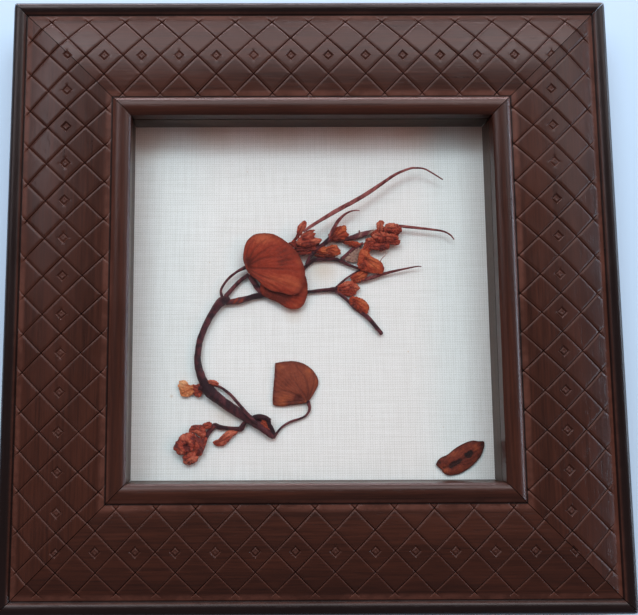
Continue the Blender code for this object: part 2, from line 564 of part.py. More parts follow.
def petal_mesh(name, petal):
    """One petal as a closed, flattened drop, narrower at its base."""
    x0, y0, x1, y1, width, height, thickness = petal
    length = hypot(x1 - x0, y1 - y0)
    bm = bmesh.new()
    bmesh.ops.create_uvsphere(bm, u_segments=PETAL_SEGMENTS, v_segments=PETAL_RINGS, radius=1)
    matrix = Matrix.Rotation(pi / 2, 3, "Y")
    bmesh.ops.rotate(bm, verts=bm.verts, cent=(0, 0, 0), matrix=matrix)
    for vert in bm.verts:
        share = (vert.co.x + 1) / 2
        vert.co.y *= PETAL_BASE_SHARE + (1 - PETAL_BASE_SHARE) * share
    bmesh.ops.scale(bm, verts=bm.verts, vec=(length * MM / 2, width * MM / 2, thickness * MM / 2))
    turn = Matrix.Rotation(atan2(y1 - y0, x1 - x0), 3, "Z")
    bmesh.ops.rotate(bm, verts=bm.verts, cent=(0, 0, 0), matrix=turn)
    middle = ((x0 + x1) / 2 * MM, (y0 + y1) / 2 * MM, LINEN_TOP + height * MM)
    bmesh.ops.translate(bm, verts=bm.verts, vec=middle)
    bmesh.ops.recalc_face_normals(bm, faces=bm.faces)
    mesh = bpy.data.meshes.new(name)
    bm.to_mesh(mesh)
    bm.free()
    return mesh


def make_flower(name, colour, petals):
    """A flower or bud: its petals fused where they overlap."""
    material = finish(f"{name}_skin", colour, 0.6)
    first, *others = petals
    body = bpy.data.objects.new(name, petal_mesh(name, first))
    body.data.materials.append(material)
    bpy.context.scene.collection.objects.link(body)
    for number, petal in enumerate(others, start=2):
        helper = bpy.data.objects.new(f"{name}_petal_{number}", petal_mesh(name, petal))
        helper.hide_render = True
        helper.display_type = "WIRE"
        bpy.context.scene.collection.objects.link(helper)
        join = body.modifiers.new(f"petal_{number}", "BOOLEAN")
        join.operation = "UNION"
        join.object = helper


def main():
    """Clears the scene and builds every piece."""
    for obj in list(bpy.data.objects):
        bpy.data.objects.remove(obj, do_unlink=True)
    make_rails()
    make_spacers()
    make_boards()
    make_points()
    make_hanger()
    for name, (colour, flatness, points) in TWIGS.items():
        make_twig(name, colour, flatness, points)
    for name, (colour, hub, hub_z, edge_z, dome, outline) in BLADES.items():
        make_blade(name, colour, hub, hub_z, edge_z, dome, outline)
    for name, (colour, petals) in FLOWERS.items():
        make_flower(name, colour, petals)


main()
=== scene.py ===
"""The looks of a pressed flower frame.

A square shadow-box frame of dark stained moulding with a pressed lattice holds a dried plant
sprig and a small loose leaf on cream cloth, behind glass. The frame lies on its back: X runs to
the picture's right, Y to its top and Z out of it, with the origin in the middle of the back.
"""

import logging
from collections.abc import Callable, Iterable, Sequence
from dataclasses import dataclass, field
from enum import Enum
from math import asin, atan2, cos, exp, hypot, pi, radians, sin, sqrt

import bmesh
import bpy
import numpy as np
from bmesh.types import BMEdge, BMesh, BMFace, BMVert
from bpy.types import Material, Node, NodeSocket as Socket, NodeTree, Object
from mathutils import Matrix, Vector, noise


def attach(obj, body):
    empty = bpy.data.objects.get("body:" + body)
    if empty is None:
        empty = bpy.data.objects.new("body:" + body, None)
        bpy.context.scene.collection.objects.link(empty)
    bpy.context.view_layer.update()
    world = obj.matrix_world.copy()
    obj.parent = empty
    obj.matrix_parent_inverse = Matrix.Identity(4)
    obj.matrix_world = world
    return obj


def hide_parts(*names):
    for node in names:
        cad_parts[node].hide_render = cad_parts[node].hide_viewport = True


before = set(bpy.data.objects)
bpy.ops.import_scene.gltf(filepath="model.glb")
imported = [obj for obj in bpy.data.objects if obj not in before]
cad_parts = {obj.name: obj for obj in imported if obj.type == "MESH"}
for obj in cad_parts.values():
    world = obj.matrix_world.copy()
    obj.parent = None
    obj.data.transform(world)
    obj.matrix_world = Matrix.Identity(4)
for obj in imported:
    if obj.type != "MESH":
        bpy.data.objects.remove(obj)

LOG = logging.getLogger("pressed_flower_frame")
MM = 0.001
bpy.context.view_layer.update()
SPAN_STEPS = 14
Colour = tuple[float, float, float, float]
Point = tuple[float, float]                  # x, y
Station = tuple[float, float, float, float]  # x, y, height above the cloth, radius
Blot = tuple[float, float, float, float]     # x, y, radius, strength


def tint(red: int, green: int, blue: int) -> Colour:
    """Turns a screen colour into light.

    Args:
        red, green, blue: The colour's channels, from 0 to 255.

    Returns:
        The linear colour with full opacity.
    """
    shares = (channel / 255 for channel in (red, green, blue))
    light = (s / 12.92 if s <= 0.04045 else ((s + 0.055) / 1.055) ** 2.4 for s in shares)
    return (*light, 1.0)


class Graph:
    """Adds and joins the nodes of one node tree."""

    def __init__(self, tree: NodeTree) -> None:
        """Keeps the tree that the nodes go into."""
        self.tree = tree

    def feed(self, node: Node, inputs: dict) -> Node:
        """Gives a node's inputs their links or plain values.

        Args:
            node: The node.
            inputs: A socket or value by the input's name or number; None leaves it alone.

        Returns:
            The same node.
        """
        for key, value in inputs.items():
            if isinstance(value, Socket):
                self.tree.links.new(value, node.inputs[key])
            elif value is not None:
                node.inputs[key].default_value = value
        return node

    def add(self, kind: str, inputs: dict | None = None, **settings: object) -> Node:
        """Adds one node.

        Args:
            kind: The node's type.
            inputs: A socket or value by the input's name or number.
            settings: The node's own properties.

        Returns:
            The new node.
        """
        node = self.tree.nodes.new(kind)
        for key, value in settings.items():
            setattr(node, key, value)
        return self.feed(node, inputs or {})

    def math(self, operation: str, *values: object) -> Socket:
        """Returns the result of one Math node."""
        inputs = dict(enumerate(values))
        return self.add("ShaderNodeMath", inputs, operation=operation).outputs[0]

    def total(self, *parts: tuple[object, float]) -> Socket:
        """Adds up values, each times its weight.

        Args:
            parts: Pairs of a value and its weight.

        Returns:
            The sum.
        """
        made = None
        for value, weight in parts:
            share = value if weight == 1 else self.math("MULTIPLY", value, weight)
            made = share if made is None else self.math("ADD", made, share)
        return made

    def mix(self, factor: object, first: object, second: object) -> Socket:
        """Returns a mix of two colours."""
        inputs = {0: factor, 6: first, 7: second}
        return self.add("ShaderNodeMix", inputs, data_type="RGBA").outputs[2]

    def span(
        self, value: object, low: float, high: float, to_low: float = 0.0, to_high: float = 1.0
    ) -> Socket:
        """Returns a value moved smoothly from one range to another, and kept inside it."""
        inputs = dict(enumerate((value, low, high, to_low, to_high)))
        return self.add("ShaderNodeMapRange", inputs, interpolation_type="SMOOTHSTEP").outputs[0]

    def stretch(
        self, vector: object, scale: Sequence[float] = (1, 1, 1), turn: float = 0.0
    ) -> Socket:
        """Returns a vector scaled and turned about Z by a Mapping node."""
        inputs = {"Vector": vector, "Rotation": (0, 0, turn), "Scale": scale}
        return self.add("ShaderNodeMapping", inputs).outputs[0]

    def noise(
        self, vector: object, scale: float, detail: float = 3.0, roughness: float = 0.55,
        distortion: float = 0.0,
    ) -> Socket:
        """Returns the value of a Noise Texture."""
        inputs = {
            "Vector": vector, "Scale": scale, "Detail": detail, "Roughness": roughness,
            "Distortion": distortion,
        }
        return self.add("ShaderNodeTexNoise", inputs).outputs[0]

    def attribute(self, name: str) -> Socket:
        """Returns a mesh attribute as a value."""
        return self.add("ShaderNodeAttribute", attribute_name=name).outputs["Fac"]

    def place(self) -> Socket:
        """Returns the point's place in the frame, in metres."""
        return self.add("ShaderNodeTexCoord").outputs["Object"]

    def bump(self, height: object, distance: float, strength: float) -> Socket:
        """Returns a normal tilted by a height, which is given in shares of a distance."""
        inputs = {"Height": height, "Distance": distance, "Strength": strength}
        return self.add("ShaderNodeBump", inputs).outputs[0]


class SharedEffect:
    """A node group that is built once and placed in each material with its own values."""

    def __init__(
        self, name: str, inputs: dict[str, str], outputs: Sequence[str],
        wire: Callable[[Graph, dict], dict],
    ) -> None:
        """Builds the group.

        Args:
            name: The group's name.
            inputs: Each input's name and kind: "Vector" or "Float".
            outputs: The names of its values.
            wire: Joins a graph's nodes from the inputs and gives a socket for each output.
        """
        self.tree = bpy.data.node_groups.new(name, "ShaderNodeTree")
        ends = [(label, "INPUT", kind) for label, kind in inputs.items()]
        ends += [(label, "OUTPUT", "Float") for label in outputs]
        for label, way, kind in ends:
            self.tree.interface.new_socket(name=label, in_out=way, socket_type=f"NodeSocket{kind}")
        graph = Graph(self.tree)
        entry = graph.add("NodeGroupInput")
        leave = graph.add("NodeGroupOutput")
        graph.feed(leave, wire(graph, {label: entry.outputs[label] for label in inputs}))

    def put(self, graph: Graph, **values: object) -> dict[str, Socket]:
        """Places the group in a material.

        Args:
            graph: The material's graph.
            values: A value or socket for each input.

        Returns:
            The group's outputs by name.
        """
        node = graph.add("ShaderNodeGroup", values, node_tree=self.tree)
        return {socket.name: socket for socket in node.outputs}


def wire_grain(graph: Graph, inputs: dict) -> dict:
    """Joins the wood grain's nodes: streaks along X, broad bands and short pores.

    Args:
        graph, inputs: The group's graph and its inputs by name.

    Returns:
        Its outputs by name.
    """
    vector = inputs["Place"]
    fine = graph.noise(graph.stretch(vector, (45, 1500, 1500)), 1.0, 4.0, 0.65)
    broad = graph.noise(graph.stretch(vector, (11, 130, 130)), 1.0, 3.0, 0.5, 0.4)
    pore = graph.noise(graph.stretch(vector, (190, 3600, 3600)), 1.0, 1.0, 0.5)
    tone = graph.total((fine, 0.6), (broad, 0.4))
    return {"Tone": graph.span(tone, 0.3, 0.7), "Pores": graph.span(pore, 0.60, 0.74)}


def wire_strip(graph: Graph, inputs: dict) -> dict:
    """Joins the nodes of a soft-edged strip round a line at a given distance.

    Args:
        graph, inputs: The group's graph and its inputs by name.

    Returns:
        Its output by name.
    """
    offset = graph.math("ABSOLUTE", graph.math("SUBTRACT", inputs["Distance"], inputs["Line"]))
    share = graph.math("DIVIDE", offset, inputs["Width"])
    return {"Mask": graph.span(share, 0.35, 1.0, 1.0, 0.0)}


def wire_patches(graph: Graph, inputs: dict) -> dict:
    """Joins the nodes of worn or dusty patches at one scale, with broken edges.

    Args:
        graph, inputs: The group's graph and its inputs by name.

    Returns:
        Its outputs by name.
    """
    large = graph.noise(inputs["Place"], inputs["Scale"], 5.0, 0.62)
    small = graph.noise(inputs["Place"], graph.math("MULTIPLY", inputs["Scale"], 7.0), 3.0, 0.6)
    both = graph.total((large, 0.7), (small, 0.3))
    return {"Mask": graph.span(both, 0.44, 0.60), "Tone": graph.span(both, 0.25, 0.75)}


GRAIN = SharedEffect("wood grain", {"Place": "Vector"}, ("Tone", "Pores"), wire_grain)
STRIP = SharedEffect(
    "soft strip", {"Distance": "Float", "Line": "Float", "Width": "Float"}, ("Mask",), wire_strip
)
PATCHES = SharedEffect(
    "patches", {"Place": "Vector", "Scale": "Float"}, ("Mask", "Tone"), wire_patches
)


class Finish:
    """A finish, which makes its own material."""

    name: str

    def material(self) -> Material:
        """Makes the material.

        Returns:
            A Principled material with the finish's nodes.
        """
        material = bpy.data.materials.new(self.name)
        material.use_nodes = True
        tree = material.node_tree
        self.paint(Graph(tree), tree.nodes["Principled BSDF"])
        return material

    def paint(self, graph: Graph, shader: Node) -> None:
        """Joins the finish's nodes.

        Args:
            graph, shader: The material's graph and its Principled shader.
        """
        raise NotImplementedError


class GrainAxis(Enum):
    """Which way a board's grain runs."""

    X = 0.0
    Y = pi / 2


class RailSide(Enum):
    """A rail's name, its turn from the top rail's place, and its lattice's own offsets."""

    TOP = ("top", 0.0, -0.55 * MM, -0.75 * MM)
    LEFT = ("left", pi / 2, 0.0, 0.05 * MM)
    BOTTOM = ("bottom", pi, 0.45 * MM, -0.65 * MM)
    RIGHT = ("right", -pi / 2, -0.1 * MM, -1.5 * MM)

    def __init__(self, label: str, turn: float, along: float, across: float) -> None:
        """Names the four values.

        Args:
            label: The rail's name.
            turn: Its turn about Z from the top rail's place.
            along, across: How far its lattice is moved along and across the rail.
        """
        self.label = label
        self.turn = turn
        self.along = along
        self.across = across

    @property
    def grain(self) -> GrainAxis:
        """The axis that the rail runs along."""
        return GrainAxis.X if self in (RailSide.TOP, RailSide.BOTTOM) else GrainAxis.Y


@dataclass(frozen=True)
class StainedWood(Finish):
    """Dark stained wood under a satin lacquer."""

    name: str
    axis: GrainAxis
    deep: Colour = tint(38, 18, 11)
    middle: Colour = tint(61, 31, 20)
    # Colour of the real wear lines, also used as a painted highlight on the groove flanks.
    worn_and_highlight: Colour = tint(88, 54, 43)
    # Dark colour of pores and of the dark rim, also the pooled staining and painted shade in grooves and
    # creases.
    stain_and_shade: Colour = tint(11, 6, 6)
    roughness: float = 0.27
    creases: tuple[float, ...] = ()
    crease_width: float = 0.5 * MM
    worn_lines: tuple[float, ...] = ()
    worn_width: float = 2.3 * MM
    dark_beyond: float = 1.0
    dark_fade: float = 1.2 * MM
    pore_depth: float = 0.03 * MM

    def paint(self, graph: Graph, shader: Node) -> None:
        """Joins grain and pores, lines of wear, a painted highlight on the groove flanks, painted
        shade with pooled staining in the grooves and creases, and a dark rim.

        Args:
            graph, shader: The material's graph and its Principled shader.
        """
        place = graph.place()
        along = graph.stretch(place, turn=-self.axis.value)
        grain = GRAIN.put(graph, Place=along)
        patches = PATCHES.put(graph, Place=place, Scale=55.0)
        colour = graph.mix(grain["Tone"], self.deep, self.middle)
        colour = graph.mix(graph.math("MULTIPLY", grain["Pores"], 0.3), colour, self.stain_and_shade)
        split = graph.add("ShaderNodeSeparateXYZ", {"Vector": along})
        distance = graph.math("ABSOLUTE", split.outputs["Y"])
        for line in self.worn_lines:
            strip = STRIP.put(graph, Distance=distance, Line=line, Width=self.worn_width)
            broken = graph.span(patches["Tone"], 0.2, 0.8, 0.25, 0.75)
            colour = graph.mix(graph.math("MULTIPLY", strip["Mask"], broken), colour, self.worn_and_highlight)
        groove = graph.attribute("groove")
        # Painted highlight: the shallow flanks of the pressed grooves are lightened, standing in for the
        # lit flanks.
        colour = graph.mix(graph.span(groove, 0.05, 0.3, 0.0, 0.35), colour, self.worn_and_highlight)
        # Groove bottoms darkened: pooled staining together with painted shade.
        colour = graph.mix(graph.span(groove, 0.5, 0.85, 0.0, 0.92), colour, self.stain_and_shade)
        # Strips along the creases darkened: pooled staining together with painted shade.
        for line in self.creases:
            strip = STRIP.put(graph, Distance=distance, Line=line, Width=self.crease_width)
            colour = graph.mix(graph.math("MULTIPLY", strip["Mask"], 0.9), colour, self.stain_and_shade)
        rim = graph.span(distance, self.dark_beyond, self.dark_beyond + self.dark_fade, 0.0, 0.88)
        rough = graph.total(
            (self.roughness, 1), (grain["Tone"], 0.06), (patches["Mask"], 0.05),
            (graph.span(groove, 0.02, 0.2, 0.0, 0.22), 1),
        )
        relief = graph.total((grain["Tone"], 0.5), (grain["Pores"], -1.0))
        graph.feed(shader, {
            "Base Color": graph.mix(rim, colour, self.stain_and_shade), "Roughness": rough,
            "Normal": graph.bump(relief, self.pore_depth, 0.5),
        })


@dataclass(frozen=True)
class ClearGlass(Finish):
    """Thin clear glass that lets the light's shadow rays through."""

    name: str = "clear_glass_pane"
    body: Colour = (0.97, 0.985, 0.98, 1)
    shadow: Colour = (0.95, 0.97, 0.96, 1)
    refraction: float = 1.45

    def paint(self, graph: Graph, shader: Node) -> None:
        """Sets plain transmission, and lets shadow rays pass.

        Args:
            graph, shader: The material's graph and its Principled shader.
        """
        graph.feed(shader, {
            "Base Color": self.body, "Metallic": 0.0, "Roughness": 0.0, "IOR": self.refraction,
            "Transmission Weight": 1.0,
        })
        clear = graph.add("ShaderNodeBsdfTransparent", {"Color": self.shadow})
        shadow_ray = graph.add("ShaderNodeLightPath").outputs["Is Shadow Ray"]
        ways = {0: shadow_ray, 1: shader.outputs[0], 2: clear.outputs[0]}
        both = graph.add("ShaderNodeMixShader", ways)
        graph.feed(graph.tree.nodes["Material Output"], {"Surface": both.outputs[0]})


@dataclass(frozen=True)
class WovenLinen(Finish):
    """Cream cloth in a plain weave: uneven threads, dark flecks, tan specks and painted shadow.

    Blots are (x, y, radius, strength) in millimetres. The small ones are specks on the cloth;
    the broad ones round the plant and the row along the top edge are painted warm shadow.
    """

    name: str = "cream_cloth"
    pitch: float = 0.8 * MM
    crimp: float = 0.55
    thread_depth: float = 0.06 * MM
    pale: Colour = tint(237, 237, 234)
    shade: Colour = tint(215, 214, 208)
    fleck: Colour = tint(120, 92, 66)
    # Tan of the real specks, and of the painted warm shadow round the plant and under the top rail.
    stain_and_shade: Colour = tint(196, 170, 138)
    # Small blots are specks on the cloth; the broad ones round the plant and the row along the top edge
    # are painted warm shadow.
    stains_and_shadows: tuple[Blot, ...] = (
        (4.0, 10.5, 8.0, 0.45), (-6.0, -5.0, 5.0, 0.25), (-29.0, -38.5, 7.0, 0.3),
        (24.0, 19.0, 9.0, 0.2), (-3.0, -36.0, 5.0, 0.15), (-41.0, -49.0, 7.0, 0.25),
        (-47.5, -33.0, 0.9, 0.5), (-21.7, 44.9, 0.35, 0.6), (-34.8, 12.8, 0.35, 0.6),
        (33.0, -18.1, 0.4, 0.7), (35.3, -23.6, 0.3, 0.5), (44.2, -43.6, 0.35, 0.6),
        (-60.0, 61.0, 17.0, 0.5), (-34.0, 64.0, 15.0, 0.45), (-10.0, 64.0, 15.0, 0.4),
        (14.0, 64.0, 15.0, 0.4), (38.0, 64.0, 15.0, 0.4), (60.0, 62.0, 14.0, 0.4),
    )

    def weave(self, graph: Graph, place: Socket) -> Socket:
        """Joins the nodes of a plain weave.

        Args:
            graph: The material's graph.
            place: The point's place.

        Returns:
            The height of the thread on top.
        """
        wander = graph.noise(place, 55.0, 2.0)
        drift = graph.math("MULTIPLY", graph.math("SUBTRACT", wander, 0.5), 1.2)
        split = graph.add("ShaderNodeSeparateXYZ", {"Vector": place})
        waves = []
        for axis in ("X", "Y"):
            turns = graph.math("MULTIPLY", split.outputs[axis], pi / self.pitch)
            waves.append(graph.math("COSINE", graph.math("ADD", turns, drift)))
        over = graph.math("MULTIPLY", *waves)
        threads = [
            graph.total((graph.math("ABSOLUTE", wave), 1), (over, crimp))
            for wave, crimp in zip(waves, (self.crimp, -self.crimp))
        ]
        return graph.math("MAXIMUM", *threads)

    def paint(self, graph: Graph, shader: Node) -> None:
        """Joins the weave, threads of uneven tone, flecks, tan specks and painted warm shadow.

        Args:
            graph, shader: The material's graph and its Principled shader.
        """
        place = graph.place()
        height = self.weave(graph, place)
        upright = graph.noise(graph.stretch(place, (1250, 60, 1)), 1.0, 2.0)
        level = graph.noise(graph.stretch(place, (60, 1250, 1)), 1.0, 2.0)
        thread = graph.math("ADD", upright, level)
        # Paler where the thread on top stands high and darker in the weave's hollows: painted shade,
        # mixed with each thread's own uneven tone.
        tone = graph.total((height, 0.45), (thread, 0.55))
        colour = graph.mix(graph.span(tone, 0.5, 1.35), self.shade, self.pale)
        fleck = graph.span(graph.noise(place, 420.0, 1.0), 0.80, 0.84, 0.0, 0.45)
        colour = graph.mix(fleck, colour, self.fleck)
        # Tan blots: real specks, and painted warm shadow round the plant and under the top rail.
        for x, y, radius, strength in self.stains_and_shadows:
            middle = (x * MM, y * MM, Recess.cloth_top)
            ends = {0: place, 1: middle}
            offset = graph.add("ShaderNodeVectorMath", ends, operation="DISTANCE")
            share = graph.math("DIVIDE", offset.outputs["Value"], radius * MM)
            colour = graph.mix(graph.span(share, 0.0, 1.0, strength, 0.0), colour, self.stain_and_shade)
        relief = graph.total((height, 1), (thread, 0.8))
        graph.feed(shader, {
            "Base Color": colour, "Roughness": 0.92, "Specular IOR Level": 0.15,
            "Normal": graph.bump(relief, self.thread_depth, 0.45),
        })


@dataclass(frozen=True)
class PlainBoard(Finish):
    """Card or hardboard, with faint fibres and scuffs."""

    name: str
    pale: Colour
    dark: Colour
    roughness: float
    fibre_depth: float = 0.08 * MM

    def paint(self, graph: Graph, shader: Node) -> None:
        """Joins the fibres and the scuffs.

        Args:
            graph, shader: The material's graph and its Principled shader.
        """
        place = graph.place()
        fibres = graph.noise(place, 900.0, 4.0, 0.7, 0.6)
        patches = PATCHES.put(graph, Place=place, Scale=28.0)
        tone = graph.total((fibres, 0.6), (patches["Tone"], 0.4))
        graph.feed(shader, {
            "Base Color": graph.mix(graph.span(tone, 0.3, 0.75), self.dark, self.pale),
            "Roughness": graph.total((self.roughness - 0.05, 1), (fibres, 0.1)),
            "Normal": graph.bump(fibres, self.fibre_depth, 0.6),
        })


@dataclass(frozen=True)
class ThinMetal(Finish):
    """Stamped metal sheet with a dull film and fine scratches."""

    name: str
    bright: Colour
    dull: Colour
    roughness: float = 0.35
    scratch_depth: float = 0.01 * MM

    def paint(self, graph: Graph, shader: Node) -> None:
        """Joins the film and the scratches.

        Args:
            graph, shader: The material's graph and its Principled shader.
        """
        place = graph.place()
        scratches = graph.noise(graph.stretch(place, (90, 2600, 400), turn=0.5), 1.0, 3.0)
        patches = PATCHES.put(graph, Place=place, Scale=140.0)
        film = graph.math("MULTIPLY", patches["Tone"], 0.8)
        graph.feed(shader, {
            "Base Color": graph.mix(film, self.bright, self.dull), "Metallic": 1.0,
            "Roughness": graph.total((self.roughness, 1), (patches["Mask"], 0.16)),
            "Normal": graph.bump(scratches, self.scratch_depth, 0.5),
        })


@dataclass(frozen=True)
class DriedBark(Finish):
    """The thin dry bark of a stalk, wrinkled along its length."""

    name: str
    dark: Colour
    light: Colour
    rust: Colour = tint(138, 56, 36)
    roughness: float = 0.5
    wrinkle_depth: float = 0.16 * MM

    def paint(self, graph: Graph, shader: Node) -> None:
        """Joins long wrinkles, patches and the rust of the brightest marks.

        Args:
            graph, shader: The material's graph and its Principled shader.
        """
        lengthwise = graph.add("ShaderNodeUVMap", uv_map="skin").outputs[0]
        wrinkles = graph.noise(graph.stretch(lengthwise, (260, 9, 1)), 1.0, 3.0, 0.6, 0.3)
        patches = PATCHES.put(graph, Place=graph.place(), Scale=260.0)
        bright = graph.attribute("bright")
        tone = graph.total((wrinkles, 0.5), (patches["Tone"], 0.5))
        lift = graph.math("MULTIPLY", graph.math("SUBTRACT", bright, 0.5), 0.8)
        pale = graph.span(graph.math("ADD", tone, lift), 0.3, 0.72)
        colour = graph.mix(pale, self.dark, self.light)
        graph.feed(shader, {
            "Base Color": graph.mix(graph.span(bright, 0.8, 1.0), colour, self.rust),
            "Roughness": graph.span(tone, 0, 1, self.roughness - 0.08, self.roughness + 0.12),
            "Specular IOR Level": 0.3, "Normal": graph.bump(wrinkles, self.wrinkle_depth, 0.8),
        })


@dataclass(frozen=True)
class DriedSkin(Finish):
    """The papery skin of a dried leaf or petal: veins, mottling and a darker edge."""

    name: str
    body: Colour
    bright: Colour
    dark: Colour
    vein: Colour
    roughness: float = 0.6
    mottle_scale: float = 260.0
    mottle_depth: float = 1.0
    relief: float = 0.3 * MM

    def paint(self, graph: Graph, shader: Node) -> None:
        """Joins the mottled blush, the veins, the painted shade and highlight of creases and pleats,
        the dark edge and fine wrinkles.

        Args:
            graph, shader: The material's graph and its Principled shader.
        """
        place = graph.place()
        fine = graph.noise(place, 1400.0, 4.0, 0.65)
        mottle = graph.math("SUBTRACT", graph.noise(place, self.mottle_scale, 5.0, 0.68), 0.5)
        # The bright mark carries a painted highlight on pleat ridges as well as the blushes.
        blush = graph.total((graph.attribute("bright"), 1), (mottle, self.mottle_depth))
        colour = graph.mix(graph.span(blush, 0.0, 0.5), self.dark, self.body)
        colour = graph.mix(graph.span(blush, 0.45, 1.05), colour, self.bright)
        colour = graph.mix(graph.span(fine, 0.45, 0.8, 0.0, 0.35), colour, self.dark)
        colour = graph.mix(graph.math("MULTIPLY", graph.attribute("edge"), 0.7), colour, self.dark)
        # The vein mark carries painted shade in crumple creases and pleat troughs as well as the veins.
        colour = graph.mix(graph.math("MULTIPLY", graph.attribute("vein"), 0.8), colour, self.vein)
        rough = graph.span(fine, 0.2, 0.8, self.roughness - 0.1, self.roughness + 0.12)
        wrinkle = graph.noise(place, 2.2 * self.mottle_scale, 5.0, 0.6, 0.5)
        relief = graph.total((wrinkle, 1), (fine, 0.3))
        graph.feed(shader, {
            "Base Color": colour, "Roughness": rough, "Specular IOR Level": 0.3,
            "Normal": graph.bump(relief, self.relief, 0.75),
        })


@dataclass(frozen=True)
class PaleFloor(Finish):
    """A matt pale floor with a faint mottle."""

    name: str = "pale_floor"
    dark: Colour = tint(184, 211, 230)
    pale: Colour = tint(191, 217, 235)

    def paint(self, graph: Graph, shader: Node) -> None:
        """Joins the mottle."""
        mottle = graph.noise(graph.place(), 6.0, 4.0)
        graph.feed(shader, {"Base Color": graph.mix(mottle, self.dark, self.pale), "Roughness": 0.9})


def finished(
    name: str, bm: BMesh, material: Material,
    stands_for: Iterable[str] = (), smooth_under: float = radians(35),
) -> Object:
    """Turns a bmesh into a finished piece that rides on the frame's one body.

    Args:
        name: The piece's name.
        bm: Its mesh, which is freed.
        material: Its finish.
        stands_for: The solid pieces that it takes the place of.
        smooth_under: Edges that bend more than this stay sharp.

    Returns:
        The piece.
    """
    mesh = bpy.data.meshes.new(name)
    bm.to_mesh(mesh)
    bm.free()
    mesh.shade_smooth()
    mesh.set_sharp_from_angle(angle=smooth_under)
    mesh.materials.append(material)
    piece = bpy.data.objects.new(name, mesh)
    bpy.context.scene.collection.objects.link(piece)
    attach(piece, "root")
    if stands_for:
        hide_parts(*stands_for)
    LOG.info("%s: %d faces", name, len(mesh.polygons))
    return piece


def dress(node: str, material: Material) -> None:
    """Gives a solid piece, kept as it is, its finish.

    Args:
        node: The piece's name.
        material: Its finish.
    """
    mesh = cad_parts[node].data
    mesh.materials.clear()
    mesh.materials.append(material)
    LOG.info("%s keeps its solid", node)


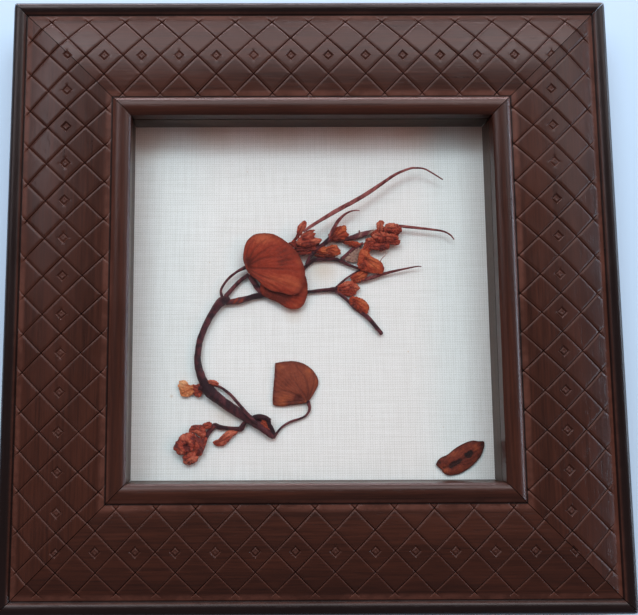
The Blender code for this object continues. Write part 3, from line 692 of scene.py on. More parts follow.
@dataclass
class Moulding:
    """Four mitred rails: a rim, a cushioned band with a pressed lattice, and an inner bead."""

    outer: float = 101.6 * MM
    back_chamfer: float = 0.8 * MM
    rim_crease: float = 97.0 * MM
    rim_crease_z: float = 18.0 * MM
    shoulder_z: float = 17.4 * MM
    rim_height: float = 1.9 * MM
    bead_crease: float = 66.6 * MM
    bead_crease_z: float = 21.3 * MM
    bead_middle: float = 63.2 * MM
    bead_top_z: float = 22.9 * MM
    sight_tilt: float = radians(54)
    sight: float = 60.3 * MM
    sight_z: float = 19.3 * MM
    lip_z: float = 17.3 * MM
    lip_chamfer: float = 0.3 * MM
    rabbet: float = 66.0 * MM
    band_crown: float = 2.05 * MM
    mitre_gap: float = 0.2 * MM
    corner_radius: float = 2.0 * MM
    worn_inset: float = 0.5 * MM
    pitch: float = 12.55 * MM
    across_stretch: float = 1.04
    lattice_reach: float = 14.2 * MM
    lattice_fade: float = 0.4 * MM
    flank_width: float = 0.62 * MM
    flank_depth: float = 0.26 * MM
    slit_width: float = 0.2 * MM
    slit_depth: float = 0.36 * MM
    stamp_outer: float = 1.42 * MM
    stamp_floor: float = 1.0 * MM
    stamp_inner: float = 0.6 * MM
    stamp_depth: float = 0.5 * MM
    stamp_raise: float = 0.2
    prick_radius: float = 0.4 * MM
    prick_depth: float = 0.25 * MM
    crossing: float = 0.35
    rows_beside: int = 3
    rim_steps: int = 14
    bead_steps: int = 12
    side_lines: tuple[float, ...] = (12 * MM, 6 * MM)
    rabbet_line: float = 8 * MM
    cell_steps: tuple[float, ...] = (
        0.0, 0.3, 0.6, 0.86, 1.0, 1.2, 1.42, 2.4, 3.4, 3.82, 4.02, 4.16, 4.28, 4.37,
    )

    @property
    def half_cell(self) -> float:
        """Half the side of one diamond."""
        return self.pitch / sqrt(8)

    def band_z(self, across: float) -> float:
        """Works out the cushioned band's height.

        Args:
            across: The distance from the picture's middle.

        Returns:
            The height there, before anything is pressed in.
        """
        share = (across - self.bead_crease) / (self.rim_crease - self.bead_crease)
        straight = self.bead_crease_z + (self.rim_crease_z - self.bead_crease_z) * share
        return straight + self.band_crown * 4 * share * (1 - share)

    def diamond(self, stamped: bool) -> BMesh:
        """Models one diamond of the lattice, flat, centred and lying as a lozenge.

        Args:
            stamped: Whether it carries a stamp.

        Returns:
            Its mesh, with Z as the pressed depth.
        """
        inner = [step * MM for step in self.cell_steps] + [self.half_cell]
        lines = [-step for step in reversed(inner[1:])] + inner
        count = len(lines) - 1
        bm = bmesh.new()
        bmesh.ops.create_grid(bm, x_segments=count, y_segments=count, size=count / 2)
        for vert in bm.verts:
            u, v = (lines[round(value + count / 2)] for value in vert.co.xy)
            vert.co = (u, v, -self.pressed(u, v, stamped))
        matrix = Matrix.Rotation(pi / 4, 3, "Z")
        bmesh.ops.rotate(bm, verts=bm.verts, cent=(0, 0, 0), matrix=matrix)
        return bm

    def pressed(self, u: float, v: float, stamped: bool) -> float:
        """Works out how deep the wood is pressed at a point of a diamond.

        Args:
            u, v: The point's distances from the diamond's middle, square to its sides.
            stamped: Whether the diamond carries a stamp.

        Returns:
            The depth.
        """
        gaps = [self.half_cell - abs(value) for value in (u, v)]
        cuts = [
            self.flank_depth * max(0.0, 1 - gap / self.flank_width)
            + self.slit_depth * max(0.0, 1 - gap / self.slit_width)
            for gap in gaps
        ]
        depth = max(cuts) + self.crossing * min(cuts)
        reach = max(abs(u), abs(v))
        if stamped and reach < self.stamp_outer:
            wall = (self.stamp_outer - reach) / (self.stamp_outer - self.stamp_floor)
            rise = (reach - self.stamp_inner) / (self.stamp_floor - self.stamp_inner)
            depth = self.stamp_depth * min(1.0, wall, max(self.stamp_raise, rise))
            depth += self.prick_depth * max(0.0, 1 - hypot(u, v) / self.prick_radius)
        return depth

    def diamonds(self, side: RailSide, row: float) -> BMesh:
        """Lays flat diamonds in rows along X, with a stamp in each of the middle row.

        Args:
            side: The rail that they are for.
            row: The middle row's distance from the picture's middle.

        Returns:
            Their mesh.
        """
        cells = {stamped: bpy.data.meshes.new("cell") for stamped in (False, True)}
        for stamped, mesh in cells.items():
            cell = self.diamond(stamped)
            cell.to_mesh(mesh)
            cell.free()
        bm = bmesh.new()
        count = int(self.outer / self.pitch) + 2
        for level in range(-self.rows_beside, self.rows_beside + 1):
            shift = 0.5 if level % 2 == 0 else 0.0
            y = row + level * self.pitch / 2
            for number in range(-count, count + 1):
                known = len(bm.verts)
                bm.from_mesh(cells[level == 0])
                bm.verts.ensure_lookup_table()
                x = side.along + (number + shift) * self.pitch
                bmesh.ops.translate(bm, verts=bm.verts[known:], vec=(x, y, 0))
        for mesh in cells.values():
            bpy.data.meshes.remove(mesh)
        bmesh.ops.remove_doubles(bm, verts=bm.verts, dist=0.01 * MM)
        return bm

    def lattice(self, side: RailSide) -> BMesh:
        """Trims one rail's diamonds to the band and presses them into it.

        Args:
            side: The rail.

        Returns:
            The band's mesh, lying along X beyond y = 0, in its final height.
        """
        row = (self.rim_crease + self.bead_crease) / 2 + side.across
        bm = self.diamonds(side, row)
        about = Matrix.Translation((0, -row, 0))
        bmesh.ops.scale(bm, verts=bm.verts, vec=(1, self.across_stretch, 1), space=about)
        for line, normal in ((self.bead_crease, (0, -1, 0)), (self.rim_crease, (0, 1, 0))):
            bmesh.ops.bisect_plane(
                bm, geom=bm.verts[:] + bm.edges[:] + bm.faces[:], dist=1e-6,
                plane_co=(0, line, 0), plane_no=normal, clear_outer=True,
            )
        groove = bm.verts.layers.float.new("groove")
        for vert in bm.verts:
            uneven = 0.92 + 0.3 * noise.noise(vert.co * 90 + Vector((0, 0, side.turn)))
            beyond = (abs(vert.co.y - row) - self.lattice_reach) / self.lattice_fade
            uneven *= min(1.0, max(0.0, 1 - beyond))
            depth = -vert.co.z * uneven
            vert[groove] = min(1.0, depth / (self.flank_depth + self.slit_depth))
            vert.co.z = self.band_z(vert.co.y) - depth
        return bm

    def rim_profile(self) -> list[Point]:
        """Draws the outline from the band's outer crease over the rim to the back.

        Returns:
            Its (distance, height) points.
        """
        half = (self.outer - self.rim_crease) / 2
        start = pi - asin((self.rim_crease_z - self.shoulder_z) / self.rim_height)
        points = []
        for step in range(1, self.rim_steps + 1):
            angle = start * (1 - step / self.rim_steps)
            across = self.rim_crease + half * (1 + cos(angle))
            points.append((across, self.shoulder_z + self.rim_height * sin(angle)))
        points += [(self.outer, line) for line in self.side_lines]
        return points + [(self.outer, self.back_chamfer), (self.outer - self.back_chamfer, 0.0)]

    def bead_profile(self) -> list[Point]:
        """Draws the outline from the band's inner crease over the bead to the back.

        Returns:
            Its (distance, height) points.
        """
        run, rise = self.bead_crease - self.bead_middle, self.bead_top_z - self.bead_crease_z
        points = []
        for half, steepest, steps, side in (
            (run, 2 * atan2(rise, run), range(self.bead_steps, -1, -1), 1),
            (self.bead_middle - self.sight, self.sight_tilt, range(1, self.bead_steps + 1), -1),
        ):
            radius = half / sin(steepest)
            for step in steps:
                tilt = steepest * step / self.bead_steps
                across = self.bead_middle + side * radius * sin(tilt)
                points.append((across, self.bead_top_z - radius * (1 - cos(tilt))))
        lip = [
            (self.sight, self.sight_z), (self.sight, self.lip_z + self.lip_chamfer),
            (self.sight + self.lip_chamfer, self.lip_z),
        ]
        rabbet = [(self.rabbet, z) for z in (self.lip_z, self.rabbet_line, 0.0)]
        return points + lip + rabbet

    def sweep(
        self, bm: BMesh, line: float, profile: list[Point]
    ) -> list[BMEdge]:
        """Draws one edge of the band out along a profile.

        Args:
            bm: The rail's mesh.
            line: The distance of the edge from the picture's middle.
            profile: The (distance, height) points that it passes.

        Returns:
            The last row of edges.
        """
        groove = bm.verts.layers.float["groove"]
        edges = [
            e for e in bm.edges
            if e.is_boundary and all(abs(v.co.y - line) < 0.01 * MM for v in e.verts)
        ]
        for across, z in profile:
            made = bmesh.ops.extrude_edge_only(bm, edges=edges)["geom"]
            fresh = {item for item in made if isinstance(item, BMVert)}
            edges = [
                item for item in made
                if isinstance(item, BMEdge) and item.is_boundary and set(item.verts) <= fresh
            ]
            for vert in fresh:
                vert.co.y = across
                vert.co.z = z
                vert[groove] = 0.0
        return edges

    def mitre(self, bm: BMesh) -> None:
        """Cuts both ends of a rail at 45 degrees, closes them and rounds the outer corner.

        Args:
            bm: The rail's mesh, lying along X.
        """
        for side in (-1, 1):
            normal = Vector((side, -1, 0)).normalized()
            cut = bmesh.ops.bisect_plane(
                bm, geom=bm.verts[:] + bm.edges[:] + bm.faces[:], dist=1e-7,
                plane_co=-normal * self.mitre_gap / 2, plane_no=normal, clear_outer=True,
            )["geom_cut"]
            rim = [item for item in cut if isinstance(item, BMEdge)]
            bmesh.ops.edgeloop_fill(bm, edges=rim)
        centre = self.outer - self.corner_radius
        for vert in bm.verts:
            off = Vector((abs(vert.co.x) - centre, vert.co.y - centre))
            if min(off) > 0 and off.length > self.corner_radius:
                off *= self.corner_radius / off.length
                vert.co.x = (centre + off.x) * (1 if vert.co.x > 0 else -1)
                vert.co.y = centre + off.y

    def rail(self, side: RailSide, material: Material) -> Object:
        """Builds one rail.

        Args:
            side: Which rail.
            material: Its finish.

        Returns:
            The rail, turned to its side of the picture.
        """
        bm = self.lattice(side)
        inner = self.sweep(bm, self.bead_crease, self.bead_profile())
        outer = self.sweep(bm, self.rim_crease, self.rim_profile())
        bmesh.ops.bridge_loops(bm, edges=inner + outer)
        self.mitre(bm)
        bmesh.ops.recalc_face_normals(bm, faces=bm.faces)
        matrix = Matrix.Rotation(side.turn, 3, "Z")
        bmesh.ops.rotate(bm, verts=bm.verts, cent=(0, 0, 0), matrix=matrix)
        name = f"moulding_{side.label}"
        return finished(name, bm, material, [f"rail_{side.label}"], radians(37))

    def build(self) -> None:
        """Builds the four rails, each with the grain along its length."""
        for axis in GrainAxis:
            wood = StainedWood(
                f"stained_moulding_{axis.name.lower()}", axis,
                creases=(self.bead_crease, self.rim_crease),
                worn_lines=(self.bead_crease + self.worn_inset, self.rim_crease - self.worn_inset),
                dark_beyond=self.rim_crease,
            ).material()
            for side in RailSide:
                if side.grain is axis:
                    self.rail(side, wood)


@dataclass
class Recess:
    """What lines the opening: dark spacer strips, glass, and cloth stretched on a board."""

    cloth_half: float = 65.2 * MM
    cloth_low: float = 6.5 * MM
    cloth_top: float = 7.0 * MM
    cloth_cells: int = 150
    sag: float = 0.06 * MM
    sag_scale: float = 45.0

    def spacers(self) -> None:
        """Dresses the four spacer strips."""
        for axis in GrainAxis:
            wood = StainedWood(
                f"spacer_stain_{axis.name.lower()}", axis, deep=tint(46, 34, 26),
                middle=tint(82, 66, 58), roughness=0.45,
            ).material()
            for side in RailSide:
                if side.grain is axis:
                    dress(f"spacer_{side.label}", wood)

    def cloth(self) -> None:
        """Stretches the cloth over its board, a little uneven as glued cloth is."""
        bm = bmesh.new()
        bmesh.ops.create_grid(
            bm, x_segments=self.cloth_cells, y_segments=self.cloth_cells, size=self.cloth_half
        )
        for vert in bm.verts:
            wave = noise.noise(vert.co * self.sag_scale + Vector((0, 0, 3)))
            vert.co.z = self.cloth_top - self.sag * (0.5 + 0.5 * wave)
        rim = [edge for edge in bm.edges if edge.is_boundary]
        made = bmesh.ops.extrude_edge_only(bm, edges=rim)["geom"]
        low = [item for item in made if isinstance(item, BMVert)]
        for vert in low:
            vert.co.z = self.cloth_low
        bmesh.ops.edgeloop_fill(bm, edges=[e for e in bm.edges if e.is_boundary])
        bmesh.ops.recalc_face_normals(bm, faces=bm.faces)
        cloth = finished(
            "stretched_cloth", bm, WovenLinen().material(), ["linen"], radians(60)
        )

    def build(self) -> None:
        """Builds the cloth and dresses the glass, the board and the spacers."""
        self.spacers()
        self.cloth()
        dress("glass", ClearGlass().material())
        card = PlainBoard("grey_card", tint(214, 206, 188), tint(178, 168, 150), 0.85)
        dress("mount_board", card.material())


@dataclass
class BackFittings:
    """What closes the back: a hardboard sheet, steel points and a sawtooth hanger."""

    def build(self) -> None:
        """Dresses the fittings."""
        board = PlainBoard("brown_hardboard", tint(132, 98, 68), tint(92, 64, 42), 0.7)
        dress("backing_board", board.material())
        steel = ThinMetal("dull_steel", tint(170, 170, 172), tint(110, 108, 106)).material()
        for side in RailSide:
            for number in (1, 2):
                dress(f"point_{side.label}_{number}", steel)
        brass = ThinMetal("plated_brass", tint(196, 164, 96), tint(132, 104, 58)).material()
        for node in ("hanger", "hanger_rivet_left", "hanger_rivet_right"):
            dress(node, brass)


@dataclass
class Setting:
    """The camera, the pale floor and the soft lights, with places and sizes in metres."""

    camera_place: tuple[float, float, float] = (-0.01895, -0.02977, 0.25967)
    camera_turn: tuple[float, float, float] = (0.1088, -0.0030, -0.0035)
    lens: float = 41.705
    shift: tuple[float, float] = (0.0954, -0.0028)
    sensor: float = 36.0
    floor_half: float = 3.0
    floor_drop: float = 0.2 * MM

    def camera(self) -> None:
        """Sets the camera at the photograph's viewing angle."""
        data = bpy.data.cameras.new("camera")
        data.sensor_width = self.sensor
        data.lens = self.lens
        data.shift_x, data.shift_y = self.shift
        data.clip_start = 0.01
        view = bpy.data.objects.new("camera", data)
        view.location = self.camera_place
        view.rotation_euler = self.camera_turn
        bpy.context.scene.collection.objects.link(view)
        bpy.context.scene.camera = view

    def floor(self) -> None:
        """Lays a plain pale floor under the frame."""
        bm = bmesh.new()
        bmesh.ops.create_grid(bm, x_segments=4, y_segments=4, size=self.floor_half)
        bmesh.ops.translate(bm, verts=bm.verts, vec=(0, 0, -self.floor_drop))
        mesh = bpy.data.meshes.new("floor")
        bm.to_mesh(mesh)
        bm.free()
        mesh.materials.append(PaleFloor().material())
        floor = bpy.data.objects.new("floor", mesh)
        bpy.context.scene.collection.objects.link(floor)

    def panel(
        self, name: str, azimuth: float, elevation: float, size: tuple[float, float],
        watts: float, colour: Colour, distance: float = 1.2, glossy: bool = True,
    ) -> None:
        """Hangs one soft light that faces the frame.

        Args:
            name: The light's name.
            azimuth, elevation: Its direction from the frame in degrees, from +X to +Y and up.
            size: Its width and height in metres.
            watts: Its power.
            colour: Its colour.
            distance: How far off it hangs.
            glossy: Whether gloss shows it.
        """
        data = bpy.data.lights.new(name, "AREA")
        data.shape = "RECTANGLE"
        data.size, data.size_y = size
        data.energy = watts
        data.color = colour[:3]
        lamp = bpy.data.objects.new(name, data)
        level = distance * cos(radians(elevation))
        lamp.location = (
            level * cos(radians(azimuth)), level * sin(radians(azimuth)),
            distance * sin(radians(elevation)),
        )
        lamp.rotation_euler = (-lamp.location).to_track_quat("-Z", "Y").to_euler()
        lamp.visible_glossy = glossy
        lamp.visible_transmission = False
        bpy.context.scene.collection.objects.link(lamp)

    def lights(self) -> None:
        """Hangs the lights.

        A pale wall beyond the top, a low strip there and a low window to the right gleam in the
        lacquer. Cool sky lights above and warm lights at the sides give no gleam.
        """
        warm, cool = tint(248, 239, 242), tint(205, 221, 233)
        self.panel("upper_wall", 90, 42, (1.3, 0.62), 5.0, warm)
        self.panel("upper_right", 45, 40, (0.9, 0.35), 1.9, tint(250, 240, 242))
        self.panel("upper_left", 135, 40, (0.9, 0.35), 2.7, tint(246, 237, 244))
        self.panel("low_strip", 90, 5, (1.3, 0.12), 8.0, tint(252, 234, 241))
        self.panel("window", 6, 10, (1.0, 0.09), 5.2, tint(204, 221, 241))
        self.panel("sky", 90, 56, (1.3, 0.25), 6.3, cool, glossy=False)
        self.panel("sky_right", 45, 58, (0.9, 0.35), 4.2, cool, glossy=False)
        self.panel("sky_left", 135, 58, (0.9, 0.35), 6.1, cool, glossy=False)
        self.panel("side_right", 0, 36, (0.5, 0.3), 2.4, tint(255, 120, 62), glossy=False)
        self.panel("side_left", 180, 32, (0.8, 0.3), 2.1, tint(255, 114, 66), glossy=False)
        world = bpy.data.worlds.new("soft_room")
        bpy.context.scene.world = world
        world.use_nodes = True
        light = world.node_tree.nodes["Background"]
        light.inputs["Color"].default_value = tint(238, 228, 236)
        light.inputs["Strength"].default_value = 0.14

    def build(self) -> None:
        """Sets the whole scene and shows colours as they are."""
        self.camera()
        self.floor()
        self.lights()
        bpy.context.scene.view_settings.view_transform = "Standard"


def through(points: Sequence[Sequence[float]], count: int, closed: bool = False) -> np.ndarray:
    """Runs a smooth curve through points and samples it evenly.

    Args:
        points: The points, of two or more numbers each; the first two are X and Y.
        count: How many samples to take.
        closed: Whether the curve comes back to its start.

    Returns:
        The samples, one row each.
    """
    knots = np.array(points, dtype=float)
    if closed:
        padded = np.vstack([knots[-1:], knots, knots[:2]])
    else:
        padded = np.vstack([2 * knots[:1] - knots[1:2], knots, 2 * knots[-1:] - knots[-2:-1]])
    t = np.linspace(0, 1, SPAN_STEPS, endpoint=False)[:, None]
    spans = [
        0.5 * (2 * b + (c - a) * t + (2 * a - 5 * b + 4 * c - d) * t**2
               + (3 * b - a - 3 * c + d) * t**3)
        for a, b, c, d in zip(padded, padded[1:], padded[2:], padded[3:])
    ]
    dense = np.vstack([*spans, knots[:1] if closed else knots[-1:]])
    steps = np.hypot(*np.diff(dense[:, :2], axis=0).T)
    reach = np.concatenate([[0.0], np.cumsum(steps)])
    at = np.linspace(0, reach[-1], count, endpoint=not closed)
    return np.stack([np.interp(at, reach, column) for column in dense.T], axis=1)


def nearness(point: Vector, line: np.ndarray) -> tuple[float, float]:
    """Measures how near a point is to a line seen from above.

    Args:
        point: The point.
        line: The line's samples.

    Returns:
        The distance, and the place of the nearest sample as a share of the line.
    """
    gaps = np.hypot(line[:, 0] - point.x, line[:, 1] - point.y)
    nearest = int(gaps.argmin())
    return float(gaps[nearest]), nearest / (len(line) - 1)


class Body:
    """A growing mesh of one plant piece, with the marks that its skin reads."""

    MARKS = ("vein", "edge", "bright")

    def __init__(self) -> None:
        """Starts an empty mesh with its marks."""
        self.bm = bmesh.new()
        self.marks = {name: self.bm.verts.layers.float.new(name) for name in self.MARKS}
        self.turn = self.bm.verts.layers.float.new("turn")
        self.reach = self.bm.verts.layers.float.new("reach")
        self.uv = self.bm.loops.layers.uv.new("skin")

    def mark(self, vert: BMVert, **values: float) -> None:
        """Sets a vertex's marks, kept between 0 and 1."""
        for name, value in values.items():
            vert[self.marks[name]] = min(1.0, max(0.0, value))

    def fresh(self, made: dict) -> list[BMVert]:
        """Returns the vertices that an operator made."""
        items = made["verts"] if "verts" in made else made["geom"]
        return [item for item in items if isinstance(item, BMVert)]

    @staticmethod
    def rim(ring: Iterable[BMVert]) -> list[BMEdge]:
        """Returns the edges of a ring that still have a free side."""
        return [e for e in {e for v in ring for e in v.link_edges} if len(e.link_faces) < 2]

    def thicken(self, faces: list[BMFace], thickness: float) -> None:
        """Closes a sheet of faces into a thin body by drawing a copy of it downwards.

        Args:
            faces: The sheet.
            thickness: How thick it gets where it lies flat; half of that where it stands.
        """
        bmesh.ops.recalc_face_normals(self.bm, faces=faces)
        made = bmesh.ops.extrude_face_region(self.bm, geom=faces, use_keep_orig=True)
        low = self.fresh(made)
        for vert in low:
            vert.normal_update()
        away = {vert: abs(vert.normal.z) for vert in low}
        for vert in low:
            vert.co.z -= thickness * (0.5 + 0.5 * away[vert])
        whole = {f for v in low for f in v.link_faces} | set(faces)
        bmesh.ops.recalc_face_normals(self.bm, faces=list(whole))

    def unwrap(self, faces: Iterable[BMFace]) -> None:
        """Lays faces out by each vertex's turn and reach, without a jump at the seam.

        Args:
            faces: The faces of one stalk.
        """
        for face in faces:
            turns = [loop.vert[self.turn] for loop in face.loops]
            wraps = max(turns) - min(turns) > 0.5
            for loop, turn in zip(face.loops, turns):
                around = turn + 1 if wraps and turn < 0.5 else turn
                loop[self.uv].uv = (around, loop.vert[self.reach])


@dataclass
class Stalk:
    """A stalk: a tapered tube, pressed a little flat, along a smooth line over the cloth.

    Its route and shades are in millimetres. A knot is its place as a share of the route, and
    how much thicker the stalk is there.
    """

    KNOT_REACH = 1.6
    CAP_ANGLES = (0.5, 1.0, 1.4)
    CAP_LENGTH = 0.7
    SKIN_GIRTH = 2 * pi * MM

    route: list[Station]
    flatness: float = 0.85
    sides: int = 14
    ribs: int = 5
    rib_depth: float = 0.05
    knots: tuple[Point, ...] = ()
    uneven: float = 0.10
    step: float = 0.35
    tone: float = 0.5
    shades: tuple[Blot, ...] = ()

    def stations(self) -> np.ndarray:
        """Samples the route, with its knots and with a rounded start and end.

        Returns:
            The samples in metres: x, y, height above the cloth and radius.
        """
        plan = np.array(self.route)[:, :2]
        length = float(np.hypot(*np.diff(plan, axis=0).T).sum())
        rows = through(self.route, max(6, int(length / self.step)))
        share = np.linspace(0, 1, len(rows))
        for place, swell in self.knots:
            gap = (share - place) * length / (self.KNOT_REACH * rows[:, 3])
            near = np.exp(-(gap**2))
            rows[:, 3] *= 1 + swell * near
        first, last = rows[0], rows[-1]
        head = self.cap(first, first - rows[1])
        tail = self.cap(last, last - rows[-2])
        return np.vstack([head[::-1], rows, tail]) * MM

    def cap(self, end: np.ndarray, outward: np.ndarray) -> np.ndarray:
        """Rounds off an end.

        Args:
            end: The end's sample.
            outward: The step that leads out of the stalk there.

        Returns:
            A few more samples, from the end outwards.
        """
        direction = outward[:3] / np.linalg.norm(outward[:3])
        made = []
        for angle in self.CAP_ANGLES:
            place = end[:3] + direction * end[3] * self.CAP_LENGTH * sin(angle)
            made.append([*place, end[3] * cos(angle)])
        return np.array(made)

    def add_to(self, body: Body) -> None:
        """Adds the stalk to a piece.

        Args:
            body: The piece.
        """
        rows = self.stations()
        bm = body.bm
        known = set(bm.faces)
        ring = body.fresh(bmesh.ops.create_circle(bm, segments=self.sides, radius=MM))
        for number, vert in enumerate(sorted(ring, key=lambda v: atan2(v.co.y, v.co.x))):
            vert[body.turn] = number / self.sides
        edges = body.rim(ring)
        bmesh.ops.contextual_create(bm, geom=edges)
        reach = 0.0
        for number, row in enumerate(rows):
            if number:
                ring = body.fresh(bmesh.ops.extrude_edge_only(bm, edges=edges))
                edges = body.rim(ring)
                reach += float(np.linalg.norm(row[:3] - rows[number - 1][:3]))
            ahead = rows[min(number + 1, len(rows) - 1)][:3] - rows[max(number - 1, 0)][:3]
            along = Vector(ahead).normalized()
            aside = along.cross(Vector((0, 0, 1))).normalized()
            above = aside.cross(along)
            for vert in ring:
                self.set_vertex(body, vert, row, (aside, above), reach)
        bmesh.ops.contextual_create(bm, geom=edges)
        body.unwrap(set(bm.faces) - known)

    def set_vertex(
        self, body: Body, vert: BMVert, row: np.ndarray, axes: tuple[Vector, Vector],
        reach: float,
    ) -> None:
        """Places one vertex of a ring and marks its skin.

        Args:
            body: The piece that the vertex belongs to.
            vert: The vertex, which holds its turn round the ring.
            row: The ring's sample.
            axes: The ring's directions to the side and upwards.
            reach: The ring's distance along the stalk.
        """
        angle = vert[body.turn] * 2 * pi - pi / 2
        middle = Vector(row[:3]) + Vector((0, 0, Recess.cloth_top))
        rough = noise.noise(Vector((cos(angle), sin(angle), 0)) * 0.8 + middle * 700)
        rib = cos(self.ribs * angle + reach / MM * 0.15)
        radius = row[3] * (1 + self.rib_depth * rib + self.uneven * rough)
        offset = axes[0] * cos(angle) + axes[1] * sin(angle) * self.flatness
        vert.co = middle + offset * radius
        vert[body.reach] = reach / self.SKIN_GIRTH
        bright = self.tone + rough * 0.5 - Leaf.amount(vert.co, self.shades)
        body.mark(vert, vein=-rib * 0.5 - rough * 0.6, edge=0.0, bright=bright)


@dataclass
class Leaf:
    """A dried leaf: a thin skin fanned from its stalk, swollen between sunken veins.

    All its sizes are in millimetres. Blushes are paler blots, shades are darker ones, and the
    raised blots stand up from the skin, or sink into it where their strength is below 0.
    """

    VEIN_SAMPLES = 40
    RING_BIAS = 1.25

    outline: list[Point]
    hub: Point
    hub_z: float
    edge_z: float
    dome: float
    veins: list[list[Point]]
    blushes: list[Blot] = field(default_factory=list)
    shades: list[Blot] = field(default_factory=list)
    raised: list[Blot] = field(default_factory=list)
    sides: int = 144
    rings: int = 34
    thickness: float = 0.35
    vein_depth: float = 0.16
    vein_width: float = 0.42
    wrinkle: float = 0.2
    wrinkle_scale: float = 1.0
    crumple: float = 0.04
    edge_wave: float = 0.28
    ragged: float = 0.08
    pleats: int = 52
    pleat: float = 0.035
    tone: float = 0.45
    edge_dark: float = 1.0

    def add_to(self, body: Body) -> None:
        """Adds the leaf to a piece.

        Args:
            body: The piece.
        """
        bm = body.bm
        rim = through(self.outline, self.sides, closed=True) * MM
        ring = body.fresh(bmesh.ops.create_circle(bm, segments=self.sides, radius=MM))
        hub = Vector((self.hub[0] * MM, self.hub[1] * MM, 0))
        for vert, (x, y) in zip(ring, rim):
            place = Vector((x, y, 0))
            push = self.ragged * MM * noise.noise(place * 1300)
            vert.co = place + (place - hub).normalized() * push
            vert[body.reach] = 1.0
        skin = set(ring)
        previous = 1.0
        for number in range(1, self.rings):
            share = 1 - (number / self.rings) ** self.RING_BIAS
            ring = body.fresh(bmesh.ops.extrude_edge_only(bm, edges=body.rim(ring)))
            skin |= set(ring)
            ratio = share / previous
            bmesh.ops.scale(bm, verts=ring, vec=(ratio, ratio, 1), space=Matrix.Translation(-hub))
            for vert in ring:
                vert[body.reach] = share
            previous = share
        face = bmesh.ops.contextual_create(bm, geom=body.rim(ring))["faces"]
        middle = body.fresh(bmesh.ops.poke(bm, faces=face))
        for vert in middle:
            vert.co = hub
            vert[body.reach] = 0.0
        skin |= set(middle)
        self.shape(body, skin)
        self.back(body, skin)

    def vein_at(self, point: Vector, lines: list[np.ndarray]) -> float:
        """Works out how strongly a vein shows at a point.

        Args:
            point: The point.
            lines: The veins' samples.

        Returns:
            1 on a vein beside the stalk, and less farther out and away from the vein.
        """
        cuts = [0.0]
        for line in lines:
            gap, place = nearness(point, line)
            width = self.vein_width * MM * (1.1 - 0.6 * place)
            cuts.append(exp(-((gap / width) ** 2)) * (1 - 0.45 * place))
        return max(cuts)

    def swell(self, share: float, spot: Vector) -> float:
        """Works out how high the skin lies between its veins.

        Args:
            share: The way from the hub to the rim, from 0 to 1.
            spot: The place at the wrinkles' scale.

        Returns:
            The height above the cloth in millimetres.
        """
        height = self.hub_z + (self.edge_z - self.hub_z) * share**1.3
        height += self.dome * sin(pi * share**0.9) * 0.8
        height += self.wrinkle * noise.noise(spot * 0.45) * share
        height += self.wrinkle * 0.5 * noise.noise(spot * 1.3)
        return height + self.edge_wave * share**6 * noise.noise(spot * 0.38 + Vector((7, 3, 1)))

    def shape(self, body: Body, skin: set[BMVert]) -> None:
        """Lifts and marks every vertex of the skin.

        Args:
            body: The piece that the skin belongs to.
            skin: The skin's vertices, which hold their way from the hub to the rim.
        """
        lines = [through(points, self.VEIN_SAMPLES) * MM for points in self.veins]
        for vert in skin:
            share = vert[body.reach]
            spot = vert.co * 1000 * self.wrinkle_scale
            vein = self.vein_at(vert.co, lines)
            crease = exp(-((noise.noise(spot * 0.5 + Vector((2, 9, 4))) / 0.07) ** 2))
            around = atan2(vert.co.y - self.hub[1] * MM, vert.co.x - self.hub[0] * MM)
            fold = cos(self.pleats * around + 2.5 * noise.noise(spot * 0.3)) * min(1.0, 1.6 * share)
            height = self.swell(share, spot) - self.vein_depth * vein - self.crumple * crease
            height += self.pleat * fold + self.amount(vert.co, self.raised)
            vert.co.z = Recess.cloth_top + height * MM
            # The bright mark rises on pleat ridges, and the vein mark takes crumple creases and pleat
            # troughs: painted highlight and painted shade that follow the relief.
            blush = self.amount(vert.co, self.blushes) - self.amount(vert.co, self.shades)
            groove = max(0.0, -fold) ** 3 * min(0.45, self.pleat * 3.5)
            body.mark(
                vert, vein=max(vein, min(0.6, 4 * self.crumple) * crease, groove),
                edge=(share - 0.9) / 0.1 * self.edge_dark,
                bright=self.tone + blush + 1.6 * self.pleat * fold,
            )

    @staticmethod
    def amount(point: Vector, blots: Iterable[Blot]) -> float:
        """Adds up soft round blots at a point.

        Args:
            point: The point, in metres.
            blots: The blots.

        Returns:
            The sum of what is left of their strengths there.
        """
        total = 0.0
        for x, y, radius, strength in blots:
            gap = hypot(point.x / MM - x, point.y / MM - y) / radius
            total += strength * exp(-gap * gap)
        return total

    def back(self, body: Body, skin: set[BMVert]) -> None:
        """Gives the skin its thickness downwards."""
        faces = list({f for v in skin for f in v.link_faces if set(f.verts) <= skin})
        body.thicken(faces, self.thickness * MM)


@dataclass
class Lobe(Leaf):
    """A small crumpled lobe of a flower, bud or bract, made like a leaf but finer.

    Its first values stand in order: outline, hub, the heights of hub and edge, dome and veins.
    """

    sides: int = 88
    rings: int = 20
    thickness: float = 0.3
    vein_depth: float = 0.26
    vein_width: float = 0.34
    wrinkle: float = 0.5
    wrinkle_scale: float = 2.6
    crumple: float = 0.09
    edge_wave: float = 0.35
    ragged: float = 0.32
    pleats: int = 9
    pleat: float = 0.08
    tone: float = 0.62
    edge_dark: float = 0.5


@dataclass
class PlantPiece:
    """One piece of the plant: its solid's name, its slot and what it is made of."""

    node: str
    slot: str
    skin: Material
    parts: list[Stalk | Leaf]

    def build(self) -> Object:
        """Builds the piece in place of its solid.

        Returns:
            The piece.
        """
        body = Body()
        for part in self.parts:
            part.add_to(body)
        name = f"dried_{self.node}"
        return finished(name, body.bm, self.skin, [self.node], radians(80))


